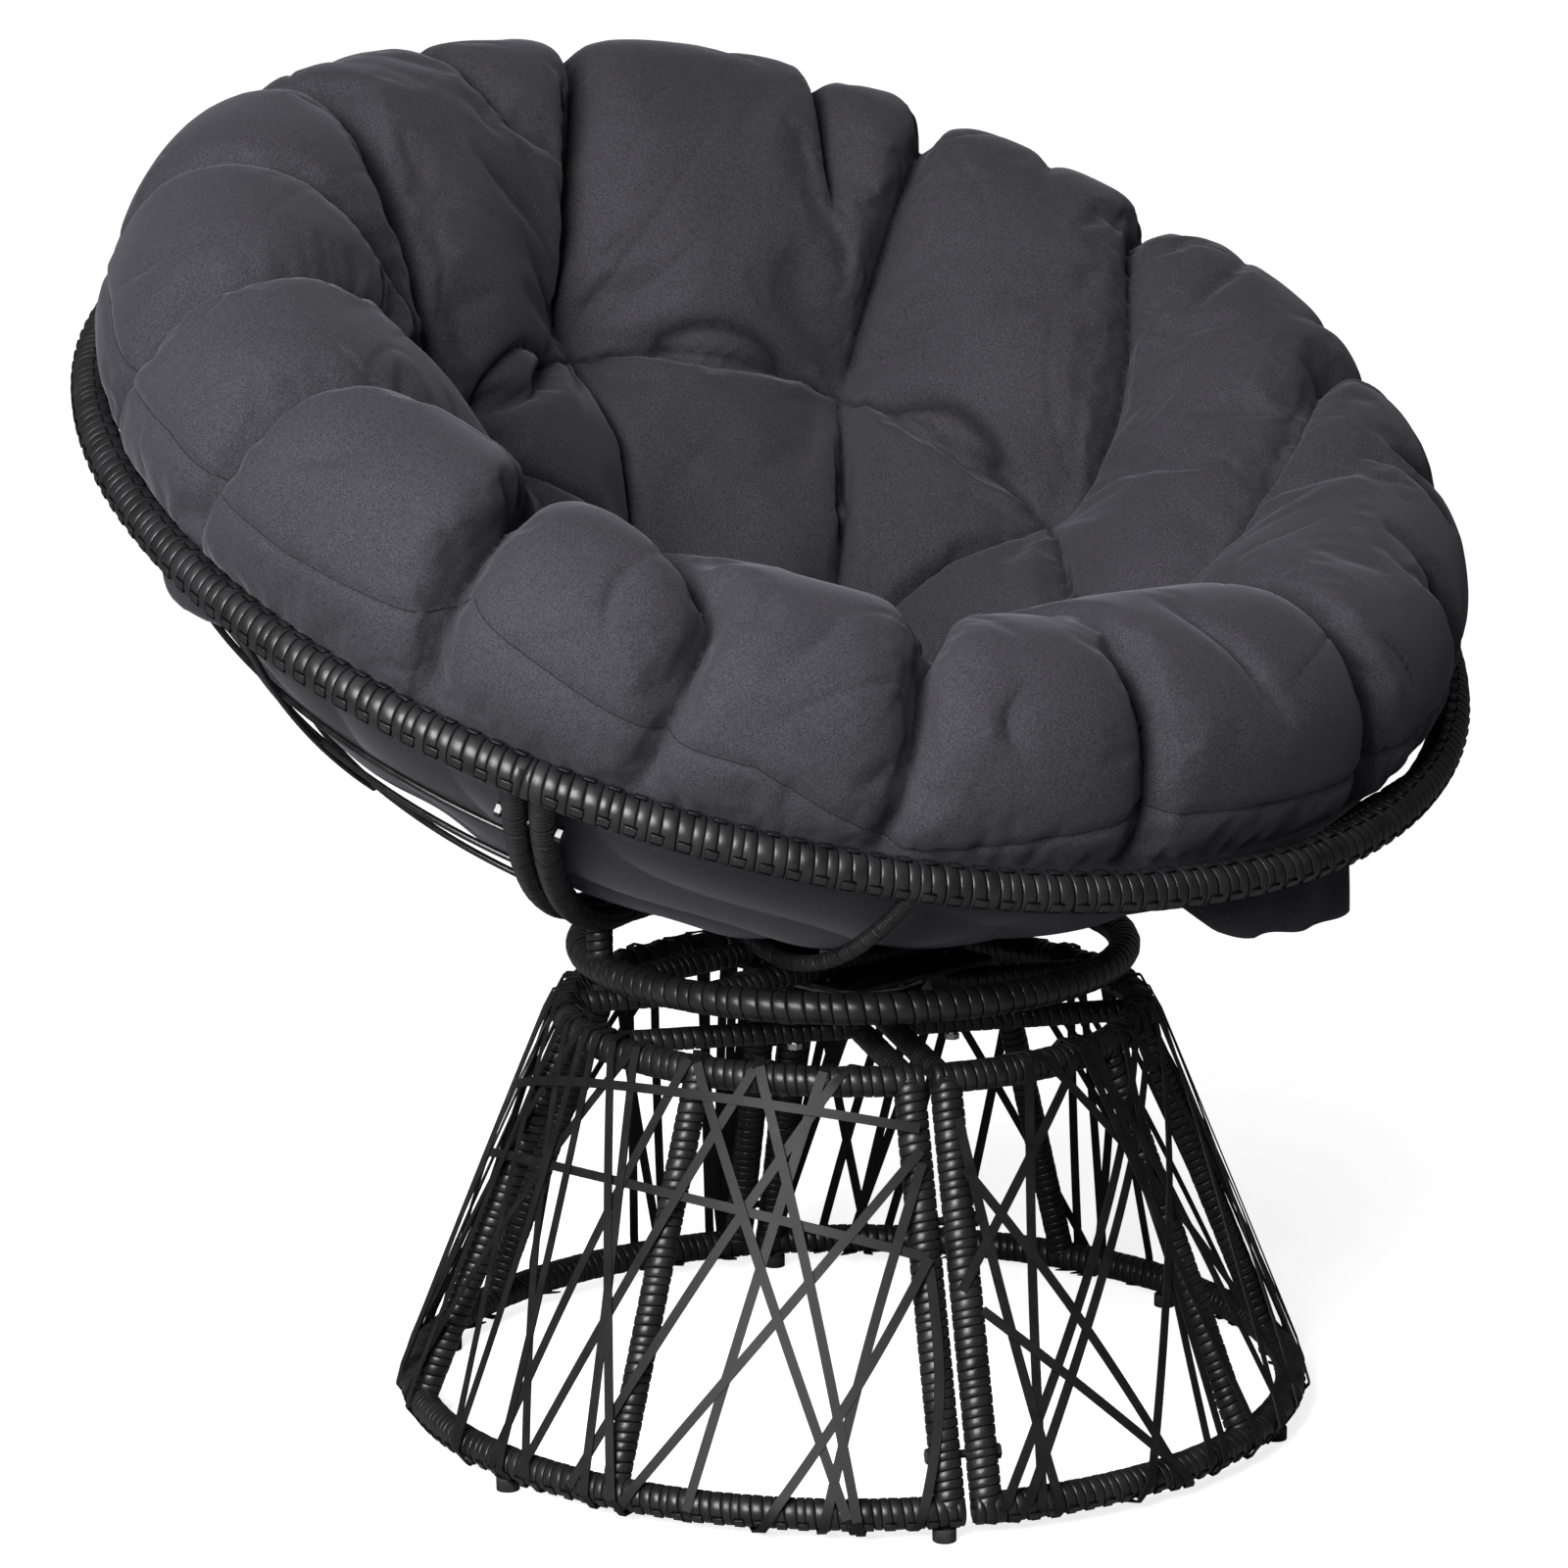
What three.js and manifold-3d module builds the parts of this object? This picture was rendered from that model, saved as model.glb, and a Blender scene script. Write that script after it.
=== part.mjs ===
// Swivel papasan chair: a dished cushion in a tilted round bowl frame, on a ball swivel and a laced base.
// Millimetres and degrees, +Z up. The chair faces -Y. The origin is on the floor under the rim's centre.
import * as THREE from "three";
import { mergeVertices } from "three/addons/utils/BufferGeometryUtils.js";
import Module from "manifold-3d";

const wasm = await Module();
wasm.setup();

// Clearances between pieces
const seatGap = 0.3;
const boltClearance = 0.3;
const runningGap = 0.4;
const padClearance = 1.1;

// Bowl: three sections of rim with their ribs, tilted to the front
const rimRadius = 502;
const rimTube = 28;
const bowlDepth = 279;
const bowlTilt = 22;
const bowlBack = 74;
const bowlClear = 6;
const ribTube = 19;
const ribPairGap = 1;
const frontRibTube = 12;
const frontRibTurn = 30;
const sectionTurn = 120;

// Wire cages in the two rear sections
const wireTube = 5;
const wireSink = 0.7;
const wireLap = 3;
const hoopShares = [0.857, 0.761, 0.657];
const wireTurn = 30;

// Cradle: the turning ring that carries the bowl on three posts
const cradleRadius = 196;
const cradleTube = 23;
const cradleBarTube = 17;
const cradleBarHalfSpan = 35;
const postTube = 19;
const postBoltReach = 12;
const postCopeShare = 0.4;

// Swivel: two pressed plates with a ring of caged balls and a riveted pin
const swivelHeight = 28;
const plateSheet = 3;
const plateWidth = 150;
const plateCorner = 14;
const plateRise = 7;
const plateauRadius = 54;
const plateWallRun = 4;
const trackRadius = 47;
const trackWidth = 10;
const trackGroove = 1.2;
const plateBoltAcross = 58;
const ballCount = 6;
const cageWidth = 11;
const cageSheet = 2;
const pinRadius = 6;
const pinHeadRadius = 11;
const pinHeadHeight = 4;
const pinHeadRound = 1.5;

// Base: two halves, each a bent lower ring, a top frame and five legs, joined at a seam
const baseRadius = 320;
const baseTopRadius = 208;
const baseTopHeight = 294;
const baseTube = 22;
const baseTurn = -29;
const legTube = 18;
const legSpacingTurn = 45;
const seamGap = 8;
const topBarTube = 17;
const topBarHalfSpan = 60;
const seamBoltHeights = [56, 203];

// Lacing: flat strands stretched outside the legs, in four bays to each half
const strandWidth = 6.5;
const strandThickness = 1.4;
const strandOverrun = 5;
const strandLayer = 0.2;
const bayGap = 1.5;
const uprightStrandShares = [
  [0, 0.42],
  [0.3, 0.05],
  [0.55, 0.98],
  [0.92, 0.66],
];
const roundStrandShares = [[0.2, 0.26]];

// Screws and feet
const boltRadius = 3;
const boltHeadRadius = 5.5;
const boltHeadHeight = 4;
const rimBoltInset = 34;
const footRadius = 9;
const footHeight = 9.7;
const footTeeth = 8;
const footToothDepth = 1;
const studRadius = 3;
const studLength = 13;
const footTurns = [3, 63, 123];

// Cushion: a dished pad, drawn into lobes by folds that run from its ties out over its edge
const foldTurns = [11.5, 32.5, 52, 70, 96, 113, 133, 155, 174, 192, 218, 232, 255, 285, 302, 322, 345];
const foldDepthShares = [0.7, 1, 0.9, 1, 1, 0.8, 0.9, 0.8, 0.6, 1, 0.4, 1, 0.9, 1, 0.6, 0.5, 1];
const lobeFullness = 0.6;
const tieTurns = [22, 77, 129, 181, 231, 277, 333];
const tieCircleShare = 0.498;
const innerTieTurns = [40, 165, 275];
const innerTieCircleShare = 0.171;
const tieDepthShare = 0.1;
const tieSpreadShare = 0.06;
const foldFanShare = 0.7;
const fanStartShare = 0.91;
const frontDropShare = 0.02;
const frontDrawShare = 0.04;
const drawStartShare = 0.75;
const waistHeightShare = 0.02;
const dishHeightShare = -0.167;
const undersideShares = [0.35, 0.7, 1];
const crestRowShares = [
  [0.975, 0.048],
  [0.982, 0.151],
  [0.948, 0.255],
  [0.89, 0.297],
  [0.81, 0.31],
  [0.69, 0.262],
  [0.585, 0.165],
  [0.496, 0.068],
  [0.4, -0.02],
  [0.27, -0.09],
  [0.14, -0.15],
];
const foldRowShares = [
  [0.95, 0.055],
  [0.94, 0.147],
  [0.912, 0.22],
  [0.88, 0.252],
  [0.818, 0.262],
  [0.717, 0.222],
  [0.61, 0.142],
  [0.515, 0.03],
  [0.418, -0.044],
  [0.27, -0.105],
  [0.14, -0.15],
];
const lobeColumns = 4;

// Facets
const tubeSides = 10;
const ribSides = 8;
const boltSides = 6;
const wireSides = 5;
const turnedSides = 14;
const ballRows = 4;
const cornerSteps = 4;
const ringStepTurn = 10;
const rimStepTurn = 6;
const strandStepTurn = 9;
const ribSteps = 10;
const wireSteps = 3;
const hoopStepTurn = 10;
const weldDistance = 0.0001;
const searchRounds = 30;

const { degToRad, radToDeg, lerp, smoothstep, euclideanModulo } = THREE.MathUtils;

// Heights and places that follow from the sizes
const footSeat = footHeight + seatGap;
const baseRingHeight = footSeat + baseTube / 2;
const legLength = Math.hypot(baseRadius - baseTopRadius, baseTopHeight - baseRingHeight);
const legLean = Math.atan2(baseRadius - baseTopRadius, baseTopHeight - baseRingHeight);
const lowerPlateBottom = baseTopHeight + topBarTube / 2 + seatGap;
const upperPlateTop = lowerPlateBottom + swivelHeight;
const cradleBarHeight = upperPlateTop + seatGap + cradleBarTube / 2;
const cradleHeight = upperPlateTop + seatGap + cradleTube / 2;
const bowlRadius = (rimRadius ** 2 + bowlDepth ** 2) / (2 * bowlDepth);
const bowlCentreRise = bowlRadius - bowlDepth;
const bowlCentreHeight = cradleBarHeight + cradleBarTube / 2 + bowlClear + bowlRadius - ribTube / 2;
const rimHeight = bowlCentreHeight - bowlCentreRise * Math.cos(degToRad(bowlTilt));
const padRadius = bowlRadius - ribTube / 2 - padClearance;
const knuckleRadius = (ribTube / 2 + ribPairGap / 2) / Math.sin(degToRad(sectionTurn / 2));
const swivelY = -bowlBack;
const bowlPlace = new THREE.Matrix4().makeRotationX(degToRad(bowlTilt)).setPosition(0, 0, rimHeight);

const finish = (color, roughness, metalness) => () =>
  new THREE.MeshStandardMaterial({ color, roughness, metalness });
const wicker = finish(0x1b1b1d, 0.45, 0);
const strandFinish = finish(0x232325, 0.4, 0);
const blackSteel = finish(0x151516, 0.5, 0.6);
const zincSteel = finish(0x8d8f92, 0.35, 0.9);
const rubber = finish(0x121212, 0.8, 0);
const fabric = finish(0x2f2e33, 0.95, 0);

const chair = new THREE.Group();
chair.name = "papasan_chair";

function add(parent, name, geometry, material) {
  const mesh = new THREE.Mesh(geometry, material());
  mesh.name = name;
  parent.add(mesh);
  return mesh;
}

function toSolid(geometry) {
  const bare = geometry.clone();
  bare.deleteAttribute("normal");
  bare.deleteAttribute("uv");
  const merged = mergeVertices(bare, weldDistance);
  const vertProperties = new Float32Array(merged.attributes.position.array);
  const triVerts = new Uint32Array(merged.index.array);
  return new wasm.Manifold(new wasm.Mesh({ numProp: 3, vertProperties, triVerts }));
}

function toGeometry(solid) {
  const mesh = solid.getMesh();
  const geometry = new THREE.BufferGeometry();
  geometry.setAttribute("position", new THREE.BufferAttribute(new Float32Array(mesh.vertProperties), 3));
  geometry.setIndex(new THREE.BufferAttribute(new Uint32Array(mesh.triVerts), 1));
  geometry.computeVertexNormals();
  return geometry;
}

const join = (...geometries) => geometries.map(toSolid).reduce((all, next) => all.add(next));
const cut = (solid, ...tools) => tools.map(toSolid).reduce((rest, tool) => rest.subtract(tool), solid);

// A point on a level circle: turn 0 is at the front, towards -Y, and turn 90 is at -X.
function onCircle(radius, turn, height = 0) {
  return new THREE.Vector3(-radius * Math.sin(degToRad(turn)), -radius * Math.cos(degToRad(turn)), height);
}

// A curve in one plane, whose section keeps an axis square to that plane.
class FlatCurve extends THREE.Curve {
  constructor(square) {
    super();
    this.square = square;
  }

  computeFrenetFrames(segments) {
    const shares = Array.from({ length: segments + 1 }, (_, index) => index / segments);
    const tangents = shares.map((share) => this.getTangentAt(share));
    const normals = shares.map(() => this.square.clone());
    const binormals = tangents.map((tangent) => tangent.clone().cross(this.square));
    return { tangents, normals, binormals };
  }
}

class LevelArc extends FlatCurve {
  constructor(radius, from, to, height = 0) {
    super(new THREE.Vector3(0, 0, 1));
    Object.assign(this, { radius, from, to, height });
  }

  getPoint(share, target = new THREE.Vector3()) {
    return target.copy(onCircle(this.radius, lerp(this.from, this.to, share), this.height));
  }
}

// A rod that lies on the bowl's sphere, set aside from the upright plane at its turn and inset from the
// sphere.
class BowlArc extends FlatCurve {
  constructor({ turn, aside = 0, inset = 0, innerRadius = 0 }) {
    super(onCircle(1, turn + 90));
    const radius = bowlRadius - inset;
    const startAngle = Math.asin(innerRadius / radius);
    const endAngle = Math.asin(rimRadius / bowlRadius);
    Object.assign(this, { out: onCircle(1, turn), aside, radius, startAngle, endAngle });
  }

  getPoint(share, target = new THREE.Vector3()) {
    const angle = lerp(this.startAngle, this.endAngle, share);
    target.copy(this.out).multiplyScalar(this.radius * Math.sin(angle));
    target.addScaledVector(this.square, this.aside);
    target.z = bowlCentreRise - this.radius * Math.cos(angle);
    return target;
  }
}

// A strand's path on the cone just outside the legs: fall 0 is at the top ring and fall 1 at the lower ring.
class ConeStrand extends THREE.Curve {
  constructor(turns, falls, lift) {
    super();
    Object.assign(this, { turns, falls, lift });
  }

  getPoint(share, target = new THREE.Vector3()) {
    const fall = lerp(this.falls[0], this.falls[1], share);
    const radius = lerp(baseTopRadius, baseRadius, fall) + this.lift * Math.cos(legLean);
    const height = lerp(baseTopHeight, baseRingHeight, fall) + this.lift * Math.sin(legLean);
    return target.copy(onCircle(radius, lerp(this.turns[0], this.turns[1], share), height));
  }

  computeFrenetFrames(segments) {
    const shares = Array.from({ length: segments + 1 }, (_, index) => index / segments);
    const tangents = shares.map((share) => this.getTangentAt(share));
    const normals = shares.map((share) => {
      const turn = lerp(this.turns[0], this.turns[1], this.getUtoTmapping(share));
      return onCircle(Math.cos(legLean), turn, Math.sin(legLean));
    });
    const binormals = tangents.map((tangent, index) => tangent.clone().cross(normals[index]).normalize());
    return { tangents, normals, binormals };
  }
}

function tube(path, diameter, steps, sides = tubeSides) {
  const circle = new THREE.Shape();
  circle.absarc(0, 0, diameter / 2, 0, 2 * Math.PI, false);
  return new THREE.ExtrudeGeometry(circle, { steps, curveSegments: sides / 2, extrudePath: path });
}

function rod(from, to, diameter, sides = tubeSides) {
  const along = new THREE.Vector3().subVectors(to, from);
  const geometry = new THREE.CylinderGeometry(diameter / 2, diameter / 2, along.length(), sides);
  const middle = new THREE.Vector3().lerpVectors(from, to, 1 / 2);
  const turn = new THREE.Quaternion().setFromUnitVectors(new THREE.Vector3(0, 1, 0), along.normalize());
  return geometry.applyQuaternion(turn).translate(middle.x, middle.y, middle.z);
}

function upright(x, y, low, high, diameter, sides = boltSides) {
  return rod(new THREE.Vector3(x, y, low), new THREE.Vector3(x, y, high), diameter, sides);
}

function turned(points) {
  const profile = points.map(([radius, height]) => new THREE.Vector2(radius, height));
  return new THREE.LatheGeometry(profile, turnedSides).rotateX(Math.PI / 2);
}

// The hole's flats, and not only its corners, clear the bolt.
const boltHoleWidth = (2 * (boltRadius + boltClearance)) / Math.cos(Math.PI / boltSides);

function hexagon(low) {
  const shape = new THREE.CylinderGeometry(boltHeadRadius, boltHeadRadius, boltHeadHeight, boltSides);
  return shape.rotateX(Math.PI / 2).translate(0, 0, low + boltHeadHeight / 2);
}

// A bolt along Z, centred on what it grips, with its head above and its nut below.
function boltGeometry(grip) {
  const reach = grip / 2 + seatGap;
  const shank = upright(0, 0, -reach - boltHeadHeight / 2, reach + boltHeadHeight / 2, 2 * boltRadius);
  return toGeometry(join(shank, hexagon(reach), hexagon(-reach - boltHeadHeight)));
}

// Base

const seamLegAside = seamGap / 2 + legTube / 2;
const seamBarAside = seamGap / 2 + topBarTube / 2;
const alongSeam = (radius, aside) => Math.sqrt(radius ** 2 - aside ** 2);

function halfRing(radius, height, grow = 0) {
  const trim = radToDeg(Math.asin(seamGap / 2 / radius));
  const steps = Math.round(180 / ringStepTurn);
  return tube(new LevelArc(radius, trim, 180 - trim, height), baseTube + 2 * grow, steps);
}

function seamBar(diameter) {
  const end = alongSeam(baseTopRadius, seamBarAside);
  const at = (y) => new THREE.Vector3(-seamBarAside, y, baseTopHeight);
  return rod(at(-end), at(end), diameter);
}

function topCrossBar(y) {
  const end = alongSeam(baseTopRadius, y);
  const at = (x) => new THREE.Vector3(x, y, baseTopHeight);
  return rod(at(-seamBarAside), at(-end), topBarTube);
}

function lowerRingHalf() {
  const bores = footTurns.map((turn) => {
    const place = onCircle(baseRadius, turn);
    return upright(place.x, place.y, 0, footHeight + studLength + seatGap, 2 * (studRadius + boltClearance));
  });
  return toGeometry(cut(join(halfRing(baseRadius, baseRingHeight)), ...bores));
}

function topFrameHalf() {
  const ends = [-topBarHalfSpan, topBarHalfSpan];
  const arc = halfRing(baseTopRadius, baseTopHeight);
  const frame = join(arc, seamBar(topBarTube), ...ends.map(topCrossBar));
  const low = baseTopHeight - topBarTube;
  const high = baseTopHeight + topBarTube;
  return toGeometry(cut(frame, ...ends.map((y) => upright(-plateBoltAcross, y, low, high, boltHoleWidth))));
}

const lowerRingTool = halfRing(baseRadius, baseRingHeight, seatGap);
const topRingTool = halfRing(baseTopRadius, baseTopHeight, seatGap);

function leg(turn) {
  const low = onCircle(baseRadius, turn, baseRingHeight);
  const high = onCircle(baseTopRadius, turn, baseTopHeight);
  return toGeometry(cut(join(rod(low, high, legTube, ribSides)), lowerRingTool, topRingTool));
}

// The middle of the seam leg at a height, on the front side for -1 and on the back side for 1.
function seamLegPoint(side, height, aside = seamLegAside) {
  const share = (height - baseRingHeight) / (baseTopHeight - baseRingHeight);
  const y = lerp(alongSeam(baseRadius, seamLegAside), alongSeam(baseTopRadius, seamLegAside), share);
  return new THREE.Vector3(-aside, side * y, height);
}

function seamLeg(side) {
  const bar = rod(seamLegPoint(side, baseRingHeight), seamLegPoint(side, baseTopHeight), legTube, ribSides);
  const holes = seamBoltHeights.map((height) => {
    const [from, to] = [0, 2 * seamLegAside].map((aside) => seamLegPoint(side, height, aside));
    return rod(from, to, boltHoleWidth, boltSides);
  });
  const tools = [lowerRingTool, topRingTool, seamBar(topBarTube + 2 * seatGap), ...holes];
  return toGeometry(cut(join(bar), ...tools));
}

// One flat strand over the outside of the legs. Each layer lies a little further out, so crossings fuse.
function strand(turns, falls, layer) {
  const lift = baseTube / 2 + seatGap + strandThickness / 2 + layer * strandLayer;
  const [x, y] = [strandThickness / 2, strandWidth / 2];
  const section = new THREE.Shape([
    new THREE.Vector2(-x, -y),
    new THREE.Vector2(x, -y),
    new THREE.Vector2(x, y),
    new THREE.Vector2(-x, y),
  ]);
  const steps = Math.max(1, Math.ceil(Math.abs(turns[1] - turns[0]) / strandStepTurn));
  return new THREE.ExtrudeGeometry(section, { steps, extrudePath: new ConeStrand(turns, falls, lift) });
}

// A bay of lacing between two legs. Every other bay is its neighbour's mirror image.
function lacingBay(index) {
  const seamTrim = radToDeg(Math.asin(seamGap / 2 / baseTopRadius));
  const legTrim = radToDeg(Math.asin(bayGap / 2 / baseTopRadius));
  const from = index * legSpacingTurn + (index === 0 ? seamTrim : legTrim);
  const to = (index + 1) * legSpacingTurn - (index === 3 ? seamTrim : legTrim);
  const margin = radToDeg(strandWidth / Math.SQRT2 / baseTopRadius);
  const mirrored = index % 2 === 1;
  const turnAt = (share) => lerp(from + margin, to - margin, mirrored ? 1 - share : share);
  const overrun = strandOverrun / legLength;
  const uprights = uprightStrandShares.map(([top, bottom], place) =>
    strand([turnAt(top), turnAt(bottom)], [-overrun, 1 + overrun], place % 2),
  );
  const rounds = roundStrandShares.map(([start, end]) =>
    strand([from, to], mirrored ? [end, start] : [start, end], 2),
  );
  return toGeometry(join(...uprights, ...rounds));
}

function foot() {
  const points = Array.from({ length: 2 * footTeeth }, (_, index) => {
    const point = onCircle(footRadius - (index % 2) * footToothDepth, (index * 180) / footTeeth);
    return new THREE.Vector2(point.x, point.y);
  });
  const disc = new THREE.ExtrudeGeometry(new THREE.Shape(points), { depth: footHeight, bevelEnabled: false });
  const stud = upright(0, 0, footHeight / 2, footHeight + studLength, 2 * studRadius);
  return toGeometry(join(disc, stud));
}

function baseHalf(side, turn) {
  const half = new THREE.Group();
  half.rotation.z = degToRad(turn);
  add(half, `${side}_lower_ring`, lowerRingHalf(), wicker);
  add(half, `${side}_top_frame`, topFrameHalf(), wicker);
  const middleLegs = [1, 2, 3].map((place) => leg(place * legSpacingTurn));
  [seamLeg(-1), ...middleLegs, seamLeg(1)].forEach((geometry, index) => {
    add(half, `${side}_leg_${index + 1}`, geometry, wicker);
  });
  [0, 1, 2, 3].forEach((index) => add(half, `${side}_lacing_${index + 1}`, lacingBay(index), strandFinish));
  footTurns.forEach((footTurn, index) => {
    add(half, `${side}_foot_${index + 1}`, foot(), rubber).position.copy(onCircle(baseRadius, footTurn));
  });
  return half;
}

function base() {
  const group = new THREE.Group();
  group.position.set(0, swivelY, 0);
  group.rotation.z = degToRad(baseTurn);
  group.add(baseHalf("left", 0), baseHalf("right", 180));
  const seamBolts = [-1, 1].flatMap((side) => seamBoltHeights.map((height) => seamLegPoint(side, height, 0)));
  seamBolts.forEach((place, index) => {
    const geometry = boltGeometry(seamGap + 2 * legTube).rotateY(Math.PI / 2);
    add(group, `base_seam_bolt_${index + 1}`, geometry, blackSteel).position.copy(place);
  });
  plateBoltPlaces(topBarHalfSpan).forEach(([x, y], index) => {
    const bolt = add(group, `lower_plate_bolt_${index + 1}`, boltGeometry(plateBoltGrip), zincSteel);
    bolt.position.set(x, y, baseTopHeight - topBarTube / 2 + plateBoltGrip / 2);
  });
  return group;
}

// Swivel

const plateBoltGrip = topBarTube + seatGap + plateSheet;

function plateBoltPlaces(halfSpan) {
  return [-1, 1].flatMap((x) => [-1, 1].map((y) => [x * plateBoltAcross, y * halfSpan]));
}

// A square plate with a raised round plateau, on which the ball track is pressed.
function plate(boltHalfSpan) {
  const half = plateWidth / 2;
  const inner = half - plateCorner;
  const outline = new THREE.Shape();
  outline.absarc(inner, inner, plateCorner, 0, Math.PI / 2);
  outline.absarc(-inner, inner, plateCorner, Math.PI / 2, Math.PI);
  outline.absarc(-inner, -inner, plateCorner, Math.PI, (3 * Math.PI) / 2);
  outline.absarc(inner, -inner, plateCorner, (3 * Math.PI) / 2, 2 * Math.PI);
  const wallFoot = plateauRadius + plateWallRun;
  const opening = new THREE.Path();
  opening.absarc(0, 0, wallFoot + plateSheet / 2, 0, 2 * Math.PI);
  outline.holes.push(opening);
  const sheetForm = { depth: plateSheet, bevelEnabled: false, curveSegments: cornerSteps };
  const sheet = new THREE.ExtrudeGeometry(outline, sheetForm);
  const pinHole = pinRadius + runningGap;
  const top = plateRise + plateSheet;
  const plateau = turned([
    [pinHole, plateRise],
    [plateauRadius - plateSheet, plateRise],
    [wallFoot - plateSheet, 0],
    [wallFoot + plateSheet, 0],
    [wallFoot + plateSheet, plateSheet],
    [wallFoot, plateSheet],
    [plateauRadius, top],
    [trackRadius + trackWidth / 2, top],
    [trackRadius, top - trackGroove],
    [trackRadius - trackWidth / 2, top],
    [pinHole, top],
    [pinHole, plateRise],
  ]);
  const holes = plateBoltPlaces(boltHalfSpan).map(([x, y]) => upright(x, y, -plateSheet, top, boltHoleWidth));
  return toGeometry(cut(join(sheet, plateau), ...holes));
}

function ballCage() {
  const room = swivelHeight - 2 * (plateRise + plateSheet - trackGroove);
  const ballRadius = room / 2 - runningGap;
  const middle = swivelHeight / 2;
  const [low, high] = [middle - cageSheet / 2, middle + cageSheet / 2];
  const [inner, outer] = [trackRadius - cageWidth / 2, trackRadius + cageWidth / 2];
  const ring = turned([
    [inner, low],
    [outer, low],
    [outer, high],
    [inner, high],
    [inner, low],
  ]);
  const balls = Array.from({ length: ballCount }, (_, index) => {
    const place = onCircle(trackRadius, (index * 360) / ballCount, middle);
    return new THREE.SphereGeometry(ballRadius, boltSides, ballRows).translate(place.x, place.y, place.z);
  });
  return toGeometry(join(ring, ...balls));
}

// The riveted pin: a head in the hollow of each plate.
function pin() {
  const low = plateRise - runningGap;
  const high = swivelHeight - plateRise + runningGap;
  return turned([
    [0, low - pinHeadHeight],
    [pinHeadRadius - pinHeadRound, low - pinHeadHeight],
    [pinHeadRadius, low - pinHeadHeight + pinHeadRound],
    [pinHeadRadius, low],
    [pinRadius, low],
    [pinRadius, high],
    [pinHeadRadius, high],
    [pinHeadRadius, high + pinHeadHeight - pinHeadRound],
    [pinHeadRadius - pinHeadRound, high + pinHeadHeight],
    [0, high + pinHeadHeight],
  ]);
}

function swivel() {
  const group = new THREE.Group();
  group.position.set(0, swivelY, lowerPlateBottom);
  add(group, "swivel_lower_plate", plate(topBarHalfSpan), blackSteel).rotation.z = degToRad(baseTurn);
  add(group, "swivel_ball_cage", ballCage(), zincSteel);
  add(group, "swivel_pin", pin(), zincSteel);
  const upper = add(group, "swivel_upper_plate", plate(cradleBarHalfSpan), blackSteel);
  upper.rotation.x = Math.PI;
  upper.position.z = swivelHeight;
  plateBoltPlaces(cradleBarHalfSpan).forEach(([x, y], index) => {
    const bolt = add(group, `upper_plate_bolt_${index + 1}`, boltGeometry(plateBoltGrip), zincSteel);
    bolt.position.set(x, y, swivelHeight - plateSheet + plateBoltGrip / 2);
  });
  return group;
}

// Bowl

// A rib at a turn from the middle of its section. All ribs of a section run into its knuckle at the bottom.
function ribPath(middleTurn, turn, inset = 0) {
  const aside = -knuckleRadius * Math.sin(degToRad(turn));
  const innerRadius = knuckleRadius * Math.cos(degToRad(turn));
  return new BowlArc({ turn: middleTurn + turn, aside, inset, innerRadius });
}

const edgeRib = (middleTurn, side, grow = 0) =>
  tube(ribPath(middleTurn, (side * sectionTurn) / 2), ribTube + 2 * grow, ribSteps, ribSides);

const sectionTurns = { front: 0, left: sectionTurn, right: -sectionTurn };
const seamTurns = [sectionTurn / 2, sectionTurn * 1.5, -sectionTurn / 2];

// Where the pair of ribs at a seam passes over the cradle's ring, in the chair's own frame.
function postTop(turn) {
  const path = new BowlArc({ turn });
  let [low, high] = [0, 1];
  for (let round = 0; round < searchRounds; round += 1) {
    const middle = (low + high) / 2;
    const point = path.getPoint(middle).applyMatrix4(bowlPlace);
    const inside = Math.hypot(point.x, point.y - swivelY) < cradleRadius;
    [low, high] = inside ? [middle, high] : [low, middle];
  }
  return path.getPoint(low).applyMatrix4(bowlPlace);
}

const postTops = seamTurns.map(postTop);
const postRise = (top) => top.z - postCopeShare * ribTube;
const postBoltTip = (top) => postRise(top) + postBoltReach;

function postBoltHole(top) {
  return upright(top.x, top.y, cradleHeight - cradleTube, postBoltTip(top) + seatGap, boltHoleWidth);
}

// The bolt through a pair of ribs near the rim lies level across the seam.
function rimBoltPlace(turn) {
  const radius = rimRadius - rimBoltInset;
  return onCircle(radius, turn, bowlCentreRise - Math.sqrt(bowlRadius ** 2 - radius ** 2));
}

function rimBoltHole(turn) {
  const place = rimBoltPlace(turn);
  const across = onCircle(2 * ribTube, turn + 90);
  return rod(place.clone().sub(across), place.clone().add(across), boltHoleWidth, boltSides);
}

function sectionRim(middleTurn, grow = 0) {
  const halfTurn = sectionTurn / 2 - radToDeg(Math.asin(ribPairGap / 2 / rimRadius));
  const path = new LevelArc(rimRadius, middleTurn - halfTurn, middleTurn + halfTurn);
  return tube(path, rimTube + 2 * grow, Math.round(sectionTurn / rimStepTurn));
}

function sectionFrame(middleTurn, thinTurns) {
  const knuckleHeight = bowlCentreRise - Math.sqrt(bowlRadius ** 2 - knuckleRadius ** 2);
  const place = onCircle(knuckleRadius, middleTurn, knuckleHeight);
  const knuckle = new THREE.SphereGeometry(ribTube / 2, ribSides, boltSides);
  knuckle.translate(place.x, place.y, place.z);
  const inset = (ribTube - frontRibTube) / 2;
  const thinRibs = thinTurns.map((turn) =>
    tube(ribPath(middleTurn, turn, inset), frontRibTube, ribSteps, boltSides),
  );
  const ribs = [edgeRib(middleTurn, -1), edgeRib(middleTurn, 1), ...thinRibs];
  const frame = join(sectionRim(middleTurn), knuckle, ...ribs);
  const toBowl = bowlPlace.clone().invert();
  const postHoles = postTops.map((top) => postBoltHole(top).applyMatrix4(toBowl));
  return toGeometry(cut(frame, ...postHoles, ...seamTurns.map(rimBoltHole)));
}

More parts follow.
